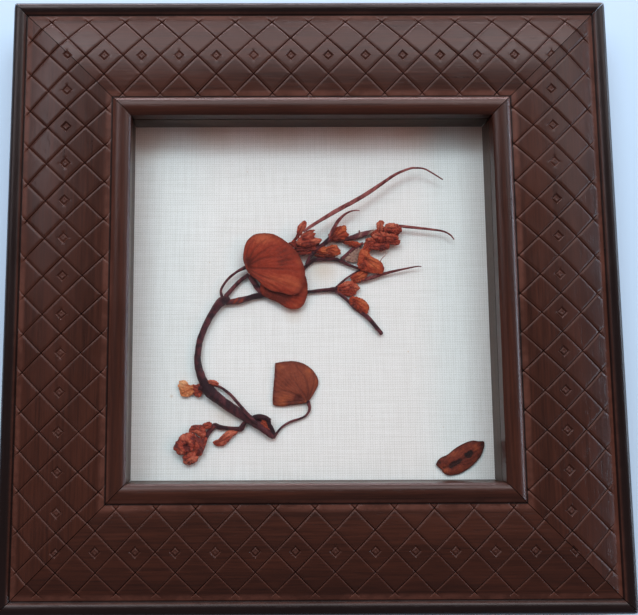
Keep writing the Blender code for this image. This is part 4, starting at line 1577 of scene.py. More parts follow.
class Sprig:
    """The branching sprig: a curved main stem, its side shoots, leaves, flowers and tails."""

    def __init__(self) -> None:
        """Makes the finishes that the pieces share."""
        self.stem = DriedBark("dark_stem", tint(38, 17, 24), tint(86, 40, 45)).material()
        self.twig = DriedBark(
            "brown_twig", tint(48, 22, 30), tint(106, 54, 58), tint(158, 124, 108)
        ).material()
        self.tail = DriedBark("red_tail", tint(92, 38, 40), tint(150, 84, 80)).material()
        self.leaf = DriedSkin(
            "rust_leaf", tint(138, 46, 26), tint(168, 78, 48), tint(88, 29, 18), tint(82, 26, 16)
        ).material()
        self.brown_leaf = DriedSkin(
            "brown_leaf", tint(124, 58, 38), tint(158, 80, 46), tint(80, 32, 24), tint(72, 27, 20)
        ).material()
        self.dark_leaf = DriedSkin(
            "dark_leaf", tint(106, 42, 28), tint(150, 68, 38), tint(22, 9, 8), tint(56, 20, 16),
            mottle_scale=520.0, mottle_depth=1.5,
        ).material()
        self.orange = DriedSkin(
            "orange_petal", tint(160, 61, 36), tint(190, 98, 58), tint(106, 39, 27),
            tint(100, 36, 26), mottle_scale=520.0, mottle_depth=0.8, relief=0.2 * MM,
        ).material()
        self.red = DriedSkin(
            "red_petal", tint(158, 62, 43), tint(192, 102, 76), tint(96, 36, 32),
            tint(80, 30, 28), mottle_scale=520.0, mottle_depth=0.7, relief=0.18 * MM,
        ).material()
        self.pale = DriedSkin(
            "pale_petal", tint(206, 124, 78), tint(224, 164, 118), tint(166, 82, 46),
            tint(146, 60, 28), mottle_scale=650.0,
        ).material()

    def stems(self) -> list[PlantPiece]:
        """Lists the thick stems and branches.

        Returns:
            Their pieces.
        """
        bark = ("stem_bark", self.stem)
        return [
            PlantPiece("stem_main", *bark, [Stalk([
                (-13.3, -46.4, 1.5, 0.95), (-15.0, -45.1, 1.6, 1.2), (-17.5, -43.1, 1.6, 1.4),
                (-21.1, -40.8, 1.65, 1.55), (-26.4, -37.5, 1.7, 1.65), (-31.0, -34.2, 1.7, 1.75),
                (-34.3, -31.5, 1.75, 1.75), (-36.4, -28.4, 1.7, 1.5), (-37.7, -25.5, 1.6, 1.35),
                (-38.5, -22.2, 1.5, 1.25), (-38.6, -19.0, 1.5, 1.15), (-37.8, -13.8, 1.5, 1.1),
                (-35.6, -8.3, 1.5, 1.1), (-32.6, -3.2, 1.6, 1.2), (-30.4, -0.9, 1.6, 1.5),
                (-28.4, -0.3, 1.5, 1.15),
            ], knots=((0.42, 0.14), (0.93, 0.12)),
                shades=((-36.2, -30.2, 1.9, 0.7), (-34.2, -30.0, 1.6, 0.5)),
            ), Stalk([
                (-35.2, -29.6, 1.9, 0.9), (-36.4, -29.9, 1.8, 0.95), (-37.6, -30.4, 1.7, 0.85),
                (-38.2, -31.0, 1.6, 0.5),
            ], uneven=0.35, tone=0.2)]),
            PlantPiece("shoot_lower", *bark, [Stalk([
                (-22.0, -41.1, 1.2, 0.65), (-23.1, -42.4, 1.0, 0.72), (-24.1, -43.9, 0.9, 0.85),
                (-25.4, -43.8, 0.9, 0.65), (-27.8, -43.7, 0.9, 0.62), (-31.2, -43.3, 0.9, 0.7),
                (-32.9, -42.8, 0.95, 0.85), (-33.8, -43.9, 0.9, 0.75), (-35.0, -45.3, 0.9, 0.75),
                (-35.9, -47.4, 0.9, 0.7), (-36.6, -49.6, 0.9, 0.65), (-37.6, -52.4, 0.9, 0.5),
            ], knots=((0.13, 0.2), (0.46, 0.2)))]),
            PlantPiece("branch_side", *bark, [Stalk([
                (-28.9, -1.2, 1.4, 0.9), (-25.3, -0.7, 1.3, 1.0), (-22.2, 0.0, 1.3, 0.95),
                (-17.9, 1.1, 1.2, 0.9), (-9.0, 1.9, 1.1, 0.75), (-1.6, 2.3, 1.0, 0.6),
                (3.2, 2.8, 1.0, 0.62), (7.4, 3.1, 1.0, 0.75), (8.8, 3.2, 1.0, 0.8),
            ], knots=((0.12, 0.15), (0.3, 0.12), (0.97, 0.2)),
                shades=((-20.2, 0.7, 2.4, 0.6), (-25.7, -0.7, 2.4, -0.42)),
            )]),
            PlantPiece("branch_dark", *bark, [Stalk([
                (-3.4, 9.0, 1.0, 0.6), (-1.7, 11.1, 1.0, 0.65), (-0.2, 12.5, 1.0, 0.7),
                (1.8, 13.5, 1.0, 0.72), (5.2, 13.8, 1.0, 0.72), (8.4, 13.6, 1.0, 0.68),
                (10.8, 12.8, 1.0, 0.58), (13.7, 11.4, 1.0, 0.48), (17.4, 10.1, 1.2, 0.4),
            ], knots=((0.5, 0.12),))]),
            PlantPiece("branch_calyx", *bark, [Stalk([
                (-1.5, 11.8, 2.0, 0.55), (-0.7, 13.4, 2.3, 0.6), (0.4, 15.3, 2.4, 0.65),
                (1.7, 16.7, 2.5, 0.7), (3.4, 17.9, 2.5, 0.7), (5.2, 19.3, 2.5, 0.7),
                (6.9, 20.9, 2.6, 0.75),
            ], knots=((0.85, 0.2),))]),
        ]

    def twigs(self) -> list[PlantPiece]:
        """Lists the thin branches and the leaves' stalks.

        Returns:
            Their pieces.
        """
        bark = ("twig_bark", self.twig)
        return [
            PlantPiece("branch_thin", *bark, [Stalk([
                (-34.2, -29.1, 1.6, 0.5), (-31.9, -29.6, 1.3, 0.46), (-30.4, -30.3, 1.2, 0.46),
                (-28.8, -31.4, 1.2, 0.48), (-27.2, -32.8, 1.5, 0.5), (-25.5, -34.7, 2.6, 0.54),
                (-23.3, -37.2, 3.5, 0.57), (-21.9, -38.8, 3.7, 0.58), (-20.2, -40.5, 3.5, 0.58),
                (-18.8, -41.7, 3.2, 0.5),
            ])]),
            PlantPiece("petiole_lower", *bark, [Stalk([
                (-13.1, -46.7, 1.2, 0.6), (-11.9, -45.2, 0.9, 0.42), (-10.4, -43.5, 0.8, 0.38),
                (-8.5, -42.2, 0.8, 0.38), (-6.5, -41.3, 0.8, 0.42), (-4.5, -40.7, 0.8, 0.38),
                (-2.6, -39.9, 0.8, 0.38), (-1.3, -38.5, 0.85, 0.42), (-0.9, -37.1, 0.9, 0.5),
                (-1.1, -36.0, 1.1, 0.6), (-1.5, -34.9, 1.3, 0.7),
            ])]),
            PlantPiece("petiole_outer", *bark, [Stalk([
                (-30.4, 0.5, 1.6, 0.55), (-30.8, 2.8, 1.6, 0.45), (-29.6, 5.2, 1.8, 0.42),
                (-27.7, 7.4, 2.0, 0.45), (-25.3, 9.2, 2.3, 0.45), (-23.4, 10.2, 2.6, 0.6),
                (-22.3, 10.6, 2.9, 0.7),
            ])]),
            PlantPiece("petiole_inner", *bark, [Stalk([
                (-29.1, 1.0, 1.4, 0.8), (-26.5, 4.0, 1.2, 0.7), (-24.1, 6.4, 1.1, 0.7),
                (-21.6, 8.2, 1.2, 0.7),
            ])]),
            PlantPiece("petiole_under", *bark, [Stalk([
                (-20.9, 7.9, 1.2, 0.8), (-19.0, 4.9, 1.1, 0.95), (-17.0, 2.1, 1.1, 0.85),
            ], flatness=0.6, tone=0.45)]),
            PlantPiece("branch_fork_upper", *bark, [Stalk([
                (8.4, 3.6, 1.0, 0.45), (10.2, 5.3, 0.9, 0.38), (12.2, 7.0, 0.9, 0.34),
                (14.8, 8.7, 0.9, 0.32), (17.4, 10.1, 1.0, 0.36),
            ])]),
            PlantPiece("branch_fork_lower", *bark, [Stalk([
                (8.4, 2.8, 1.0, 0.65), (10.6, 1.1, 0.95, 0.55), (12.6, -0.7, 0.9, 0.55),
                (14.6, -2.9, 0.9, 0.6), (16.7, -4.5, 0.95, 0.62), (18.5, -5.7, 1.0, 0.75),
                (20.3, -7.6, 1.05, 0.74), (22.0, -9.7, 1.1, 0.72), (23.8, -12.0, 1.1, 0.7),
            ], knots=((0.55, 0.12),))]),
            PlantPiece("branch_raceme", *bark, [Stalk([
                (5.2, 19.8, 1.2, 0.6), (6.8, 20.1, 1.0, 0.5), (9.4, 19.9, 0.9, 0.42),
                (11.7, 20.4, 0.95, 0.6), (13.7, 21.0, 1.0, 0.78), (16.6, 21.8, 1.1, 0.9),
                (19.5, 22.7, 1.1, 0.85), (22.0, 23.4, 1.0, 0.6),
            ], flatness=0.7, knots=((0.66, 0.15),), tone=0.68, rib_depth=0.12), Stalk([
                (17.0, 22.0, 1.2, 0.42), (16.9, 22.9, 1.3, 0.34), (16.9, 23.6, 1.3, 0.22),
            ])]),
            PlantPiece("branch_diagonal", *bark, [Stalk([
                (10.7, 13.8, 1.0, 0.62), (12.2, 15.1, 0.95, 0.55), (13.6, 16.3, 0.95, 0.55),
                (14.9, 17.4, 0.95, 0.6), (16.5, 18.3, 1.0, 0.6), (18.0, 19.1, 1.2, 0.5),
            ]), Lobe([
                (13.6, 16.2), (15.1, 17.5), (16.9, 17.5), (16.9, 15.9), (16.6, 14.1), (16.6, 12.6),
                (14.4, 12.6), (11.8, 13.4),
            ], (14.8, 14.9), 1.1, 1.0, 0.1, [], pleat=0.04, tone=0.95)]),
        ]

    def tails(self) -> list[PlantPiece]:
        """Lists the long tapered tails of the flowers.

        Returns:
            Their pieces.
        """
        bark = ("tail_bark", self.tail)
        return [
            PlantPiece("tail_long", *bark, [Stalk([
                (-2.4, 22.7, 4.6, 0.4), (-0.4, 24.1, 5.1, 0.54), (2.9, 26.2, 5.2, 0.6),
                (8.9, 29.8, 5.1, 0.74), (17.2, 34.4, 4.8, 0.74), (23.8, 38.8, 4.6, 0.62),
                (29.2, 42.5, 4.4, 0.5), (34.1, 44.6, 4.2, 0.4), (36.6, 44.9, 4.1, 0.35),
                (39.4, 44.6, 4.0, 0.3), (42.3, 43.1, 3.7, 0.28), (45.7, 41.0, 3.4, 0.22),
            ], flatness=0.5)]),
            PlantPiece("tail_short", *bark, [Stalk([
                (6.4, 21.0, 3.1, 0.5), (7.6, 23.5, 3.8, 0.62), (9.2, 26.2, 3.9, 0.6),
                (10.6, 27.8, 3.8, 0.48), (12.2, 29.1, 3.7, 0.38), (13.9, 29.9, 3.6, 0.3),
                (15.5, 30.2, 3.5, 0.22), (16.8, 30.1, 3.4, 0.16),
            ], flatness=0.5)]),
            PlantPiece("tail_end", *bark, [Stalk([
                (30.4, 24.9, 2.6, 0.5), (32.2, 24.7, 2.6, 0.54), (35.9, 24.3, 2.6, 0.5),
                (41.9, 23.6, 2.6, 0.4), (45.6, 23.0, 2.5, 0.33), (48.0, 21.8, 2.3, 0.28),
                (49.3, 20.3, 2.0, 0.22),
            ], flatness=0.5)]),
            PlantPiece("tail_fork", *bark, [Stalk([
                (16.2, 5.8, 1.3, 0.25), (18.4, 6.4, 1.3, 0.5), (19.7, 6.9, 1.35, 0.66),
                (22.0, 7.6, 1.4, 0.64), (24.3, 8.3, 1.45, 0.56), (28.7, 9.4, 1.6, 0.42),
                (32.6, 10.2, 1.8, 0.32), (36.4, 10.9, 2.0, 0.22), (37.8, 10.8, 2.0, 0.16),
            ], flatness=0.5, tone=0.36)]),
        ]

    def leaves(self) -> list[PlantPiece]:
        """Lists the leaves.

        Returns:
            Their pieces.
        """
        upper = Leaf(
            outline=[
                (-22.5, 11.0), (-23.2, 13.4), (-22.9, 16.5), (-22.0, 19.3), (-20.3, 21.2),
                (-18.2, 22.1), (-15.7, 22.3), (-12.7, 21.8), (-9.6, 20.2), (-6.9, 18.0), (-4.8, 15.6),
                (-3.3, 12.8), (-2.4, 10.3), (-2.1, 7.8), (-2.5, 5.1), (-3.7, 2.3), (-5.5, 1.1),
                (-7.7, 1.0), (-10.4, 1.8), (-13.4, 2.4), (-16.1, 3.9), (-18.5, 6.1), (-20.7, 7.9),
                (-22.0, 9.6),
            ],
            hub=(-21.5, 10.5), hub_z=3.0, edge_z=3.9, dome=1.3,
            veins=[
                [(-22.1, 12.0), (-21.9, 15.2), (-21.0, 18.0), (-19.4, 19.9)],
                [(-21.6, 11.6), (-20.0, 15.6), (-18.1, 18.0), (-15.4, 20.0)],
                [(-21.3, 11.8), (-19.4, 13.7), (-16.6, 15.8), (-13.6, 17.6), (-9.3, 18.4)],
                [(-21.4, 11.2), (-17.8, 13.1), (-14.4, 13.8), (-9.7, 13.7), (-5.6, 11.6)],
                [(-21.2, 10.4), (-16.6, 10.1), (-12.5, 9.9), (-6.9, 9.4), (-3.6, 8.2)],
                [(-21.2, 9.8), (-17.8, 7.9), (-15.1, 6.8), (-12.5, 5.9), (-7.4, 3.4)],
                [(-21.3, 9.3), (-18.4, 6.9), (-15.0, 4.9), (-11.4, 3.4)],
            ],
            blushes=[
                (-14.5, 20.8, 5.0, 0.45), (-8.6, 6.0, 4.0, 0.3), (-4.4, 4.4, 2.2, 0.3),
                (-4.2, 12.8, 2.0, 0.35), (-17.8, 21.2, 2.6, 0.25), (-14.6, 6.6, 3.0, 0.2),
                (-6.6, 18.0, 1.6, 0.2),
            ],
            shades=[
                (-12.0, 16.6, 3.6, 0.22), (-7.0, 14.4, 2.6, 0.25), (-9.8, 10.6, 2.6, 0.22),
                (-21.6, 12.4, 1.6, 0.35), (-20.8, 9.4, 1.2, 0.3), (-16.0, 14.2, 2.4, 0.15),
            ],
        )
        under = Leaf(
            outline=[
                (-17.4, 2.6), (-15.5, 0.4), (-11.9, -1.1), (-8.8, -3.0), (-6.4, -3.7), (-4.0, -3.3),
                (-2.4, -1.8), (-1.5, 0.7), (-1.2, 3.4), (-1.6, 6.8), (-3.0, 10.0), (-6.0, 12.0),
                (-10.0, 11.8), (-14.0, 9.5), (-16.8, 6.2),
            ],
            hub=(-15.2, 4.4), hub_z=2.4, edge_z=2.2, dome=0.4,
            veins=[
                [(-15.0, 4.0), (-11.0, 1.2), (-7.6, -0.6), (-5.4, -2.0)],
                [(-15.0, 4.4), (-9.0, 3.0), (-4.0, 1.0)],
                [(-15.0, 4.8), (-8.0, 6.0), (-2.6, 5.0)],
            ],
            blushes=[(-4.6, -2.6, 2.2, 0.3), (-2.0, 3.0, 2.0, 0.15)],
            # Painted shadow cast by the upper leaf along its lower edge.
            shades=[(-10.0, 0.6, 4.0, 0.5), (-14.6, 1.4, 3.0, 0.4)],
        )
        lower = Leaf(
            outline=[
                (-1.3, -35.0), (-0.1, -33.4), (1.7, -30.3), (2.2, -28.4), (1.7, -26.4), (0.0, -24.0),
                (-2.4, -22.3), (-5.1, -21.4), (-8.2, -21.3), (-11.9, -21.8), (-12.4, -22.3),
                (-12.6, -25.0), (-12.9, -28.5), (-13.2, -32.0), (-13.3, -35.2), (-12.9, -36.1),
                (-11.0, -36.5), (-6.6, -36.1), (-2.7, -35.6),
            ],
            hub=(-2.1, -34.6), hub_z=1.2, edge_z=0.8, dome=0.8,
            veins=[
                [(-1.7, -34.3), (-1.3, -31.3), (-1.9, -28.2), (-2.8, -26.1), (-5.3, -23.1)],
                [(-1.9, -34.2), (-2.6, -32.6), (-3.8, -31.1), (-5.6, -28.4)],
                [(-2.6, -34.4), (-6.0, -32.4), (-9.7, -31.1), (-12.6, -32.1)],
                [(-2.8, -34.9), (-5.6, -34.7), (-7.6, -35.1), (-10.9, -35.4)],
                [(-1.5, -34.2), (0.1, -30.7), (0.8, -27.5), (0.4, -25.4)],
            ],
            blushes=[
                (-10.8, -23.3, 1.6, 0.25), (-8.6, -33.6, 2.4, 0.25), (-10.0, -36.0, 1.6, 0.4),
                (-3.0, -36.0, 3.0, 0.3), (-1.0, -24.4, 1.6, 0.35), (1.2, -28.0, 1.2, 0.2),
            ],
            shades=[
                (-4.2, -33.6, 1.5, 0.7), (-5.6, -34.4, 1.3, 0.6), (-7.8, -35.2, 1.0, 0.6),
                (-9.5, -28.5, 2.5, 0.15), (-12.8, -23.6, 0.8, 0.5), (-13.0, -26.2, 0.8, 0.5),
                (-13.2, -29.0, 0.8, 0.5), (-13.3, -31.8, 0.8, 0.5), (-13.4, -34.4, 0.8, 0.4),
            ],
            raised=[
                (-5.2, -31.6, 1.2, 0.35), (-12.9, -24.0, 0.9, 0.5), (-13.0, -27.0, 0.9, 0.5),
                (-13.1, -30.0, 0.9, 0.5), (-13.2, -33.0, 0.9, 0.5), (-4.6, -33.9, 1.0, -0.4),
            ],
        )
        loose = Leaf(
            outline=[
                (41.3, -55.6), (42.8, -53.8), (45.4, -52.6), (48.2, -50.4), (50.9, -49.0),
                (53.7, -48.1), (55.8, -48.3), (57.6, -48.5), (57.4, -50.7), (56.4, -53.1),
                (54.5, -55.3), (52.1, -57.3), (49.4, -58.8), (46.4, -59.5), (44.2, -59.1),
                (43.0, -57.7), (41.6, -56.4),
            ],
            hub=(43.6, -57.2), hub_z=0.8, edge_z=0.7, dome=0.5,
            veins=[[(43.6, -57.2), (47.2, -55.6), (51.0, -53.6), (55.4, -51.2)]],
            blushes=[
                (44.6, -57.6, 1.4, 0.5), (48.6, -57.6, 1.8, 0.3), (47.4, -52.8, 1.4, 0.4),
                (54.4, -50.4, 1.4, 0.35), (50.4, -51.2, 1.2, 0.2),
            ],
            shades=[
                (47.4, -55.7, 1.1, 0.75), (46.0, -56.5, 0.7, 0.7), (48.8, -54.9, 0.8, 0.5),
                (51.4, -52.8, 0.8, 0.6), (52.8, -52.0, 0.8, 0.8), (52.1, -53.2, 0.7, 0.4),
                (57.0, -49.4, 1.2, 0.2), (42.2, -55.4, 1.2, 0.2),
            ],
            sides=96, rings=24,
        )
        return [
            PlantPiece("leaf_upper", "leaf_rust", self.leaf, [upper]),
            PlantPiece("leaf_under", "leaf_rust", self.leaf, [under]),
            PlantPiece("leaf_lower", "leaf_brown", self.brown_leaf, [lower]),
            PlantPiece("leaf_loose", "leaf_dark", self.dark_leaf, [loose]),
        ]

    def flowers(self) -> list[PlantPiece]:
        """Lists the knob, the flowers, buds and bracts.

        Returns:
            Their pieces.
        """
        orange, red = ("petal_orange", self.orange), ("petal_red", self.red)
        return [
            PlantPiece("stem_knob", "stem_bark", self.stem, self.knob()),
            PlantPiece("calyx_long", *red, self.long_calyx()),
            PlantPiece("calyx_short", *orange, self.short_calyx()),
            PlantPiece("florets_middle", *orange, self.middle_florets()),
            PlantPiece("bract_raceme", *orange, [Lobe([
                (11.0, 19.8), (13.3, 19.9), (15.5, 19.8), (17.0, 19.2), (17.1, 18.5), (16.1, 17.9),
                (14.7, 17.7), (13.2, 18.3), (11.5, 19.1),
            ], (13.6, 19.0), 2.2, 1.5, 0.4, [[(11.2, 19.5), (13.8, 19.0), (16.6, 18.8)]],
                shades=[(14.6, 17.9, 1.0, 0.4), (11.4, 19.4, 1.0, 0.3)], tone=0.54)]),
            PlantPiece("petal_orange", *orange, self.orange_petal()),
            PlantPiece("bract_fork", *orange, [Lobe([
                (13.7, 6.6), (13.9, 7.6), (15.0, 8.5), (16.3, 9.3), (17.7, 9.8), (19.1, 9.7),
                (19.6, 8.9), (19.3, 7.5), (18.6, 6.6), (17.4, 5.9), (15.8, 5.4), (14.5, 5.6),
            ], (15.9, 7.3), 1.6, 1.1, 0.5,
                [[(14.2, 6.6), (16.4, 7.6), (18.8, 9.2)], [(14.6, 6.2), (16.8, 6.7), (18.8, 7.4)]],
                blushes=[(17.5, 7.7, 1.4, 0.3)], shades=[(14.4, 8.0, 1.2, 0.3), (19.2, 9.2, 0.8, 0.3)])]),
            PlantPiece("petal_lower", *orange, [Lobe([
                (13.2, 0.2), (13.9, 0.8), (15.1, 0.7), (16.7, 0.2), (17.8, -0.2), (18.7, -1.0),
                (19.5, -2.2), (19.7, -3.6), (19.3, -4.9), (18.5, -5.6), (17.2, -5.4), (15.8, -4.2),
                (14.3, -2.9), (12.9, -1.2),
            ], (15.6, -1.6), 1.5, 1.3, 0.7,
                [[(14.0, -0.4), (16.4, -1.2), (18.8, -2.8)], [(14.4, -1.2), (16.4, -2.6), (18.6, -4.6)]],
                blushes=[(17.6, -1.2, 1.6, 0.35), (18.9, -3.2, 1.0, 0.25)],
                shades=[(14.6, -2.2, 1.3, 0.6), (16.4, -4.2, 1.2, 0.6), (18.0, -5.2, 0.9, 0.5)],
                crumple=0.06, tone=0.54)]),
            PlantPiece("florets_fork", *red, self.fork_florets()),
            PlantPiece("florets_end", *red, self.end_florets()),
            PlantPiece("flower_bell", "petal_pale", self.pale, [Lobe([
                (-45.1, -28.7), (-44.8, -27.9), (-44.0, -27.6), (-42.8, -27.7), (-42.0, -28.4),
                (-41.6, -29.1), (-40.3, -29.3), (-39.6, -30.1), (-39.7, -31.0), (-40.1, -32.0),
                (-40.6, -32.7), (-41.7, -33.1), (-43.2, -33.2), (-44.1, -32.8), (-44.5, -32.1),
                (-44.7, -31.2), (-45.1, -30.3), (-45.3, -29.4),
            ], (-40.9, -30.5), 1.5, 1.0, 0.5,
                [[(-39.8, -29.7), (-41.9, -29.4), (-43.9, -29.2)],
                 [(-39.8, -30.6), (-42.1, -31.3), (-44.4, -32.5)]],
                blushes=[(-43.6, -28.2, 1.4, 0.3)],
                shades=[(-44.2, -31.6, 1.2, 0.3), (-42.0, -32.6, 1.0, 0.15)],
                crumple=0.02, edge_dark=0.15, vein_width=0.5, vein_depth=0.35, pleat=0.04)]),
            PlantPiece("calyx_bell", *red, [Lobe([
                (-40.1, -28.9), (-39.4, -29.1), (-37.8, -28.9), (-37.0, -30.1), (-36.9, -31.6),
                (-37.4, -33.0), (-38.2, -33.4), (-39.1, -33.2), (-39.8, -32.6), (-40.2, -31.9),
                (-39.6, -31.3), (-40.3, -30.7), (-40.1, -29.8),
            ], (-38.2, -31.0), 2.0, 1.2, 0.4,
                [[(-37.4, -30.6), (-38.8, -30.3), (-40.1, -30.3)],
                 [(-37.4, -31.4), (-38.6, -31.9), (-39.8, -32.4)]],
                blushes=[(-38.6, -32.8, 0.6, 0.2)],
                shades=[(-37.6, -30.2, 1.2, 0.4), (-39.2, -29.4, 0.8, 0.2)], tone=0.48)]),
            PlantPiece("bud_scale", *red, [Lobe([
                (-35.3, -28.0), (-34.7, -27.5), (-33.7, -27.3), (-32.4, -27.8), (-31.5, -28.5),
                (-31.4, -29.1), (-32.4, -29.5), (-33.6, -29.3), (-34.6, -28.8),
            ], (-33.4, -28.4), 3.0, 2.4, 0.3, [[(-34.8, -28.2), (-33.2, -28.4), (-31.8, -28.9)]],
                blushes=[(-33.6, -27.9, 1.6, 0.5)], shades=[(-32.6, -29.3, 0.7, 0.3)], crumple=0.02)]),
            PlantPiece("bud_lower", *red, [Lobe([
                (-25.0, -44.7), (-25.7, -45.7), (-27.3, -46.9), (-28.2, -48.1), (-29.4, -49.2),
                (-30.6, -49.5), (-32.1, -49.5), (-33.0, -49.0), (-33.5, -48.2), (-32.5, -47.6),
                (-31.5, -47.2), (-30.5, -46.1), (-29.4, -45.0), (-28.2, -44.4), (-26.6, -44.4),
            ], (-29.4, -47.0), 1.9, 1.1, 0.5,
                [[(-32.4, -48.4), (-30.8, -47.9), (-29.0, -47.2), (-27.2, -45.9), (-25.8, -45.2)],
                 [(-31.2, -47.7), (-29.6, -46.2), (-28.2, -45.2)]],
                blushes=[(-28.0, -45.2, 1.5, 0.5), (-30.4, -48.6, 1.2, 0.2), (-26.4, -45.0, 1.0, 0.3)],
                shades=[(-32.4, -48.8, 0.8, 0.2), (-28.0, -47.6, 0.7, 0.4)], crumple=0.06)]),
            PlantPiece("florets_lower", *red, self.lower_florets()),
        ]

    @staticmethod
    def knob() -> list[Stalk | Leaf]:
        """Shapes the curled knob near the foot of the main stem."""
        return [
            Stalk([
                (-19.9, -40.4, 1.8, 0.9), (-19.0, -40.0, 2.2, 1.0), (-17.6, -39.8, 2.4, 0.95),
                (-16.2, -40.1, 2.5, 0.85), (-14.9, -40.9, 2.5, 0.75), (-14.5, -42.4, 2.3, 0.75),
                (-13.8, -44.0, 2.0, 0.8), (-13.1, -45.6, 1.7, 0.75),
            ], uneven=0.22, tone=0.24),
            Lobe([
                (-18.9, -40.6), (-17.2, -40.2), (-15.4, -40.7), (-14.6, -42.0), (-14.2, -43.4),
                (-13.6, -45.0), (-14.6, -45.9), (-16.4, -44.4), (-17.8, -42.8), (-18.8, -41.6),
            ], (-16.1, -42.6), 2.5, 2.2, 0.2, [[(-18.2, -41.2), (-17.6, -41.4), (-17.0, -41.9)]],
                blushes=[(-16.0, -42.4, 1.9, 0.9), (-15.0, -41.8, 1.3, 0.6)],
                shades=[(-17.9, -41.2, 0.7, 0.4)], tone=0.52, vein_width=0.5, vein_depth=0.5),
            Stalk([(-15.0, -40.6, 2.9, 0.35), (-14.3, -40.5, 2.9, 0.22), (-13.9, -40.7, 2.8, 0.12)]),
        ]

    @staticmethod
    def long_calyx() -> list[Stalk | Leaf]:
        """Shapes the flower that holds the longest tail."""
        return [
            Lobe([
                (-5.8, 19.4), (-3.0, 20.4), (0.4, 20.2), (2.8, 19.2), (2.6, 17.4), (1.8, 15.8),
                (-1.0, 15.0), (-4.4, 15.0), (-5.4, 16.8),
            ], (-1.8, 17.6), 2.8, 2.5, 0.2, [], tone=0.2),
            Lobe([
                (-7.6, 18.8), (-6.7, 19.4), (-5.6, 19.6), (-4.8, 19.1), (-4.8, 18.1), (-4.8, 17.0),
                (-6.1, 17.5),
            ], (-5.8, 18.4), 3.8, 3.3, 0.3, [], tone=0.16),
            Lobe([
                (-5.0, 17.3), (-2.9, 17.4), (0.3, 17.2), (1.7, 17.2), (2.0, 16.8), (1.2, 16.4),
                (-1.4, 16.2), (-3.5, 16.2), (-4.8, 16.4),
            ], (-1.8, 16.8), 3.5, 3.2, 0.2, [[(-4.6, 16.9), (-1.8, 16.8), (1.2, 16.8)]], tone=0.14),
            Lobe([
                (-4.6, 15.8), (-2.9, 16.0), (-0.1, 15.9), (0.1, 15.4), (-0.7, 15.0), (-2.9, 15.0),
                (-4.2, 15.2),
            ], (-2.2, 15.5), 3.1, 2.9, 0.2, [], tone=0.21),
            Lobe([
                (-6.7, 19.3), (-5.3, 20.9), (-4.8, 22.6), (-4.5, 24.6), (-3.5, 25.6), (-2.4, 26.5),
                (-1.7, 26.6), (-1.4, 25.4), (-1.7, 24.1), (-2.7, 22.6), (-3.5, 21.5), (-4.4, 20.4),
                (-5.7, 19.2),
            ], (-3.9, 22.4), 4.0, 3.9, 0.7,
                [[(-5.4, 20.0), (-4.2, 22.0), (-3.2, 24.2), (-2.2, 26.0)], [(-4.4, 21.0), (-2.8, 23.4)]],
                blushes=[(-2.9, 24.8, 1.2, 0.3), (-3.0, 22.9, 1.0, 0.2)],
                shades=[(-4.8, 22.2, 0.9, 0.5), (-5.6, 20.2, 1.2, 0.6), (-1.7, 25.8, 0.6, 0.3)]),
            Lobe([
                (-4.6, 19.9), (-3.5, 21.2), (-2.6, 22.2), (-1.4, 23.0), (-0.3, 23.4), (1.7, 23.4),
                (0.7, 22.7), (1.6, 22.1), (1.2, 20.9), (2.0, 20.6), (3.5, 20.3), (3.8, 19.6),
                (2.9, 18.9), (1.6, 18.3), (0.1, 17.7), (-1.4, 17.3), (-2.9, 17.6), (-4.4, 18.0),
                (-5.1, 19.1),
            ], (-2.9, 19.4), 4.4, 3.9, 0.9,
                [[(-2.9, 19.9), (-0.8, 19.8), (1.4, 20.5)], [(-3.0, 20.6), (-1.0, 21.6), (1.0, 22.9)],
                 [(-2.6, 18.6), (-0.4, 18.7), (2.4, 19.2)]],
                blushes=[(-4.5, 18.9, 0.8, 0.6), (1.4, 19.4, 1.3, 0.35), (-0.4, 21.9, 1.2, 0.25)],
                shades=[(-0.8, 17.6, 1.4, 0.5), (-2.6, 20.2, 0.9, 0.35), (0.9, 20.9, 0.6, 0.4)],
                sides=112, rings=26, tone=0.57),
        ]

    @staticmethod
    def short_calyx() -> list[Stalk | Leaf]:
        """Shapes the fanned flower that holds the short tail."""
        return [
            Lobe([
                (6.6, 20.8), (7.2, 22.0), (8.1, 23.7), (8.9, 24.6), (9.9, 24.9), (11.1, 25.1),
                (12.1, 24.9), (12.4, 23.7), (12.2, 23.2), (12.8, 22.6), (13.2, 21.7), (12.5, 21.1),
                (11.8, 20.8), (11.6, 20.2), (10.6, 20.0), (8.3, 19.7),
            ], (7.6, 20.5), 2.8, 2.5, 0.9,
                [[(7.6, 20.6), (9.0, 22.6), (10.6, 24.6)], [(7.8, 20.5), (9.8, 21.8), (12.0, 23.0)],
                 [(7.8, 20.3), (10.0, 20.9), (12.4, 21.4)], [(7.5, 20.8), (8.2, 22.6), (9.0, 24.2)]],
                blushes=[(11.6, 24.4, 1.0, 0.6), (10.0, 22.6, 1.4, 0.2)],
                shades=[(7.8, 21.0, 1.2, 0.5), (9.6, 20.2, 1.4, 0.4), (10.2, 23.4, 0.8, 0.25)],
                sides=112, rings=26, tone=0.52),
            Lobe([
                (6.0, 21.8), (6.5, 22.4), (7.2, 22.1), (7.6, 20.6), (7.3, 19.5), (6.3, 20.1),
            ], (6.8, 20.9), 3.3, 2.8, 0.2, [], tone=0.08),
        ]

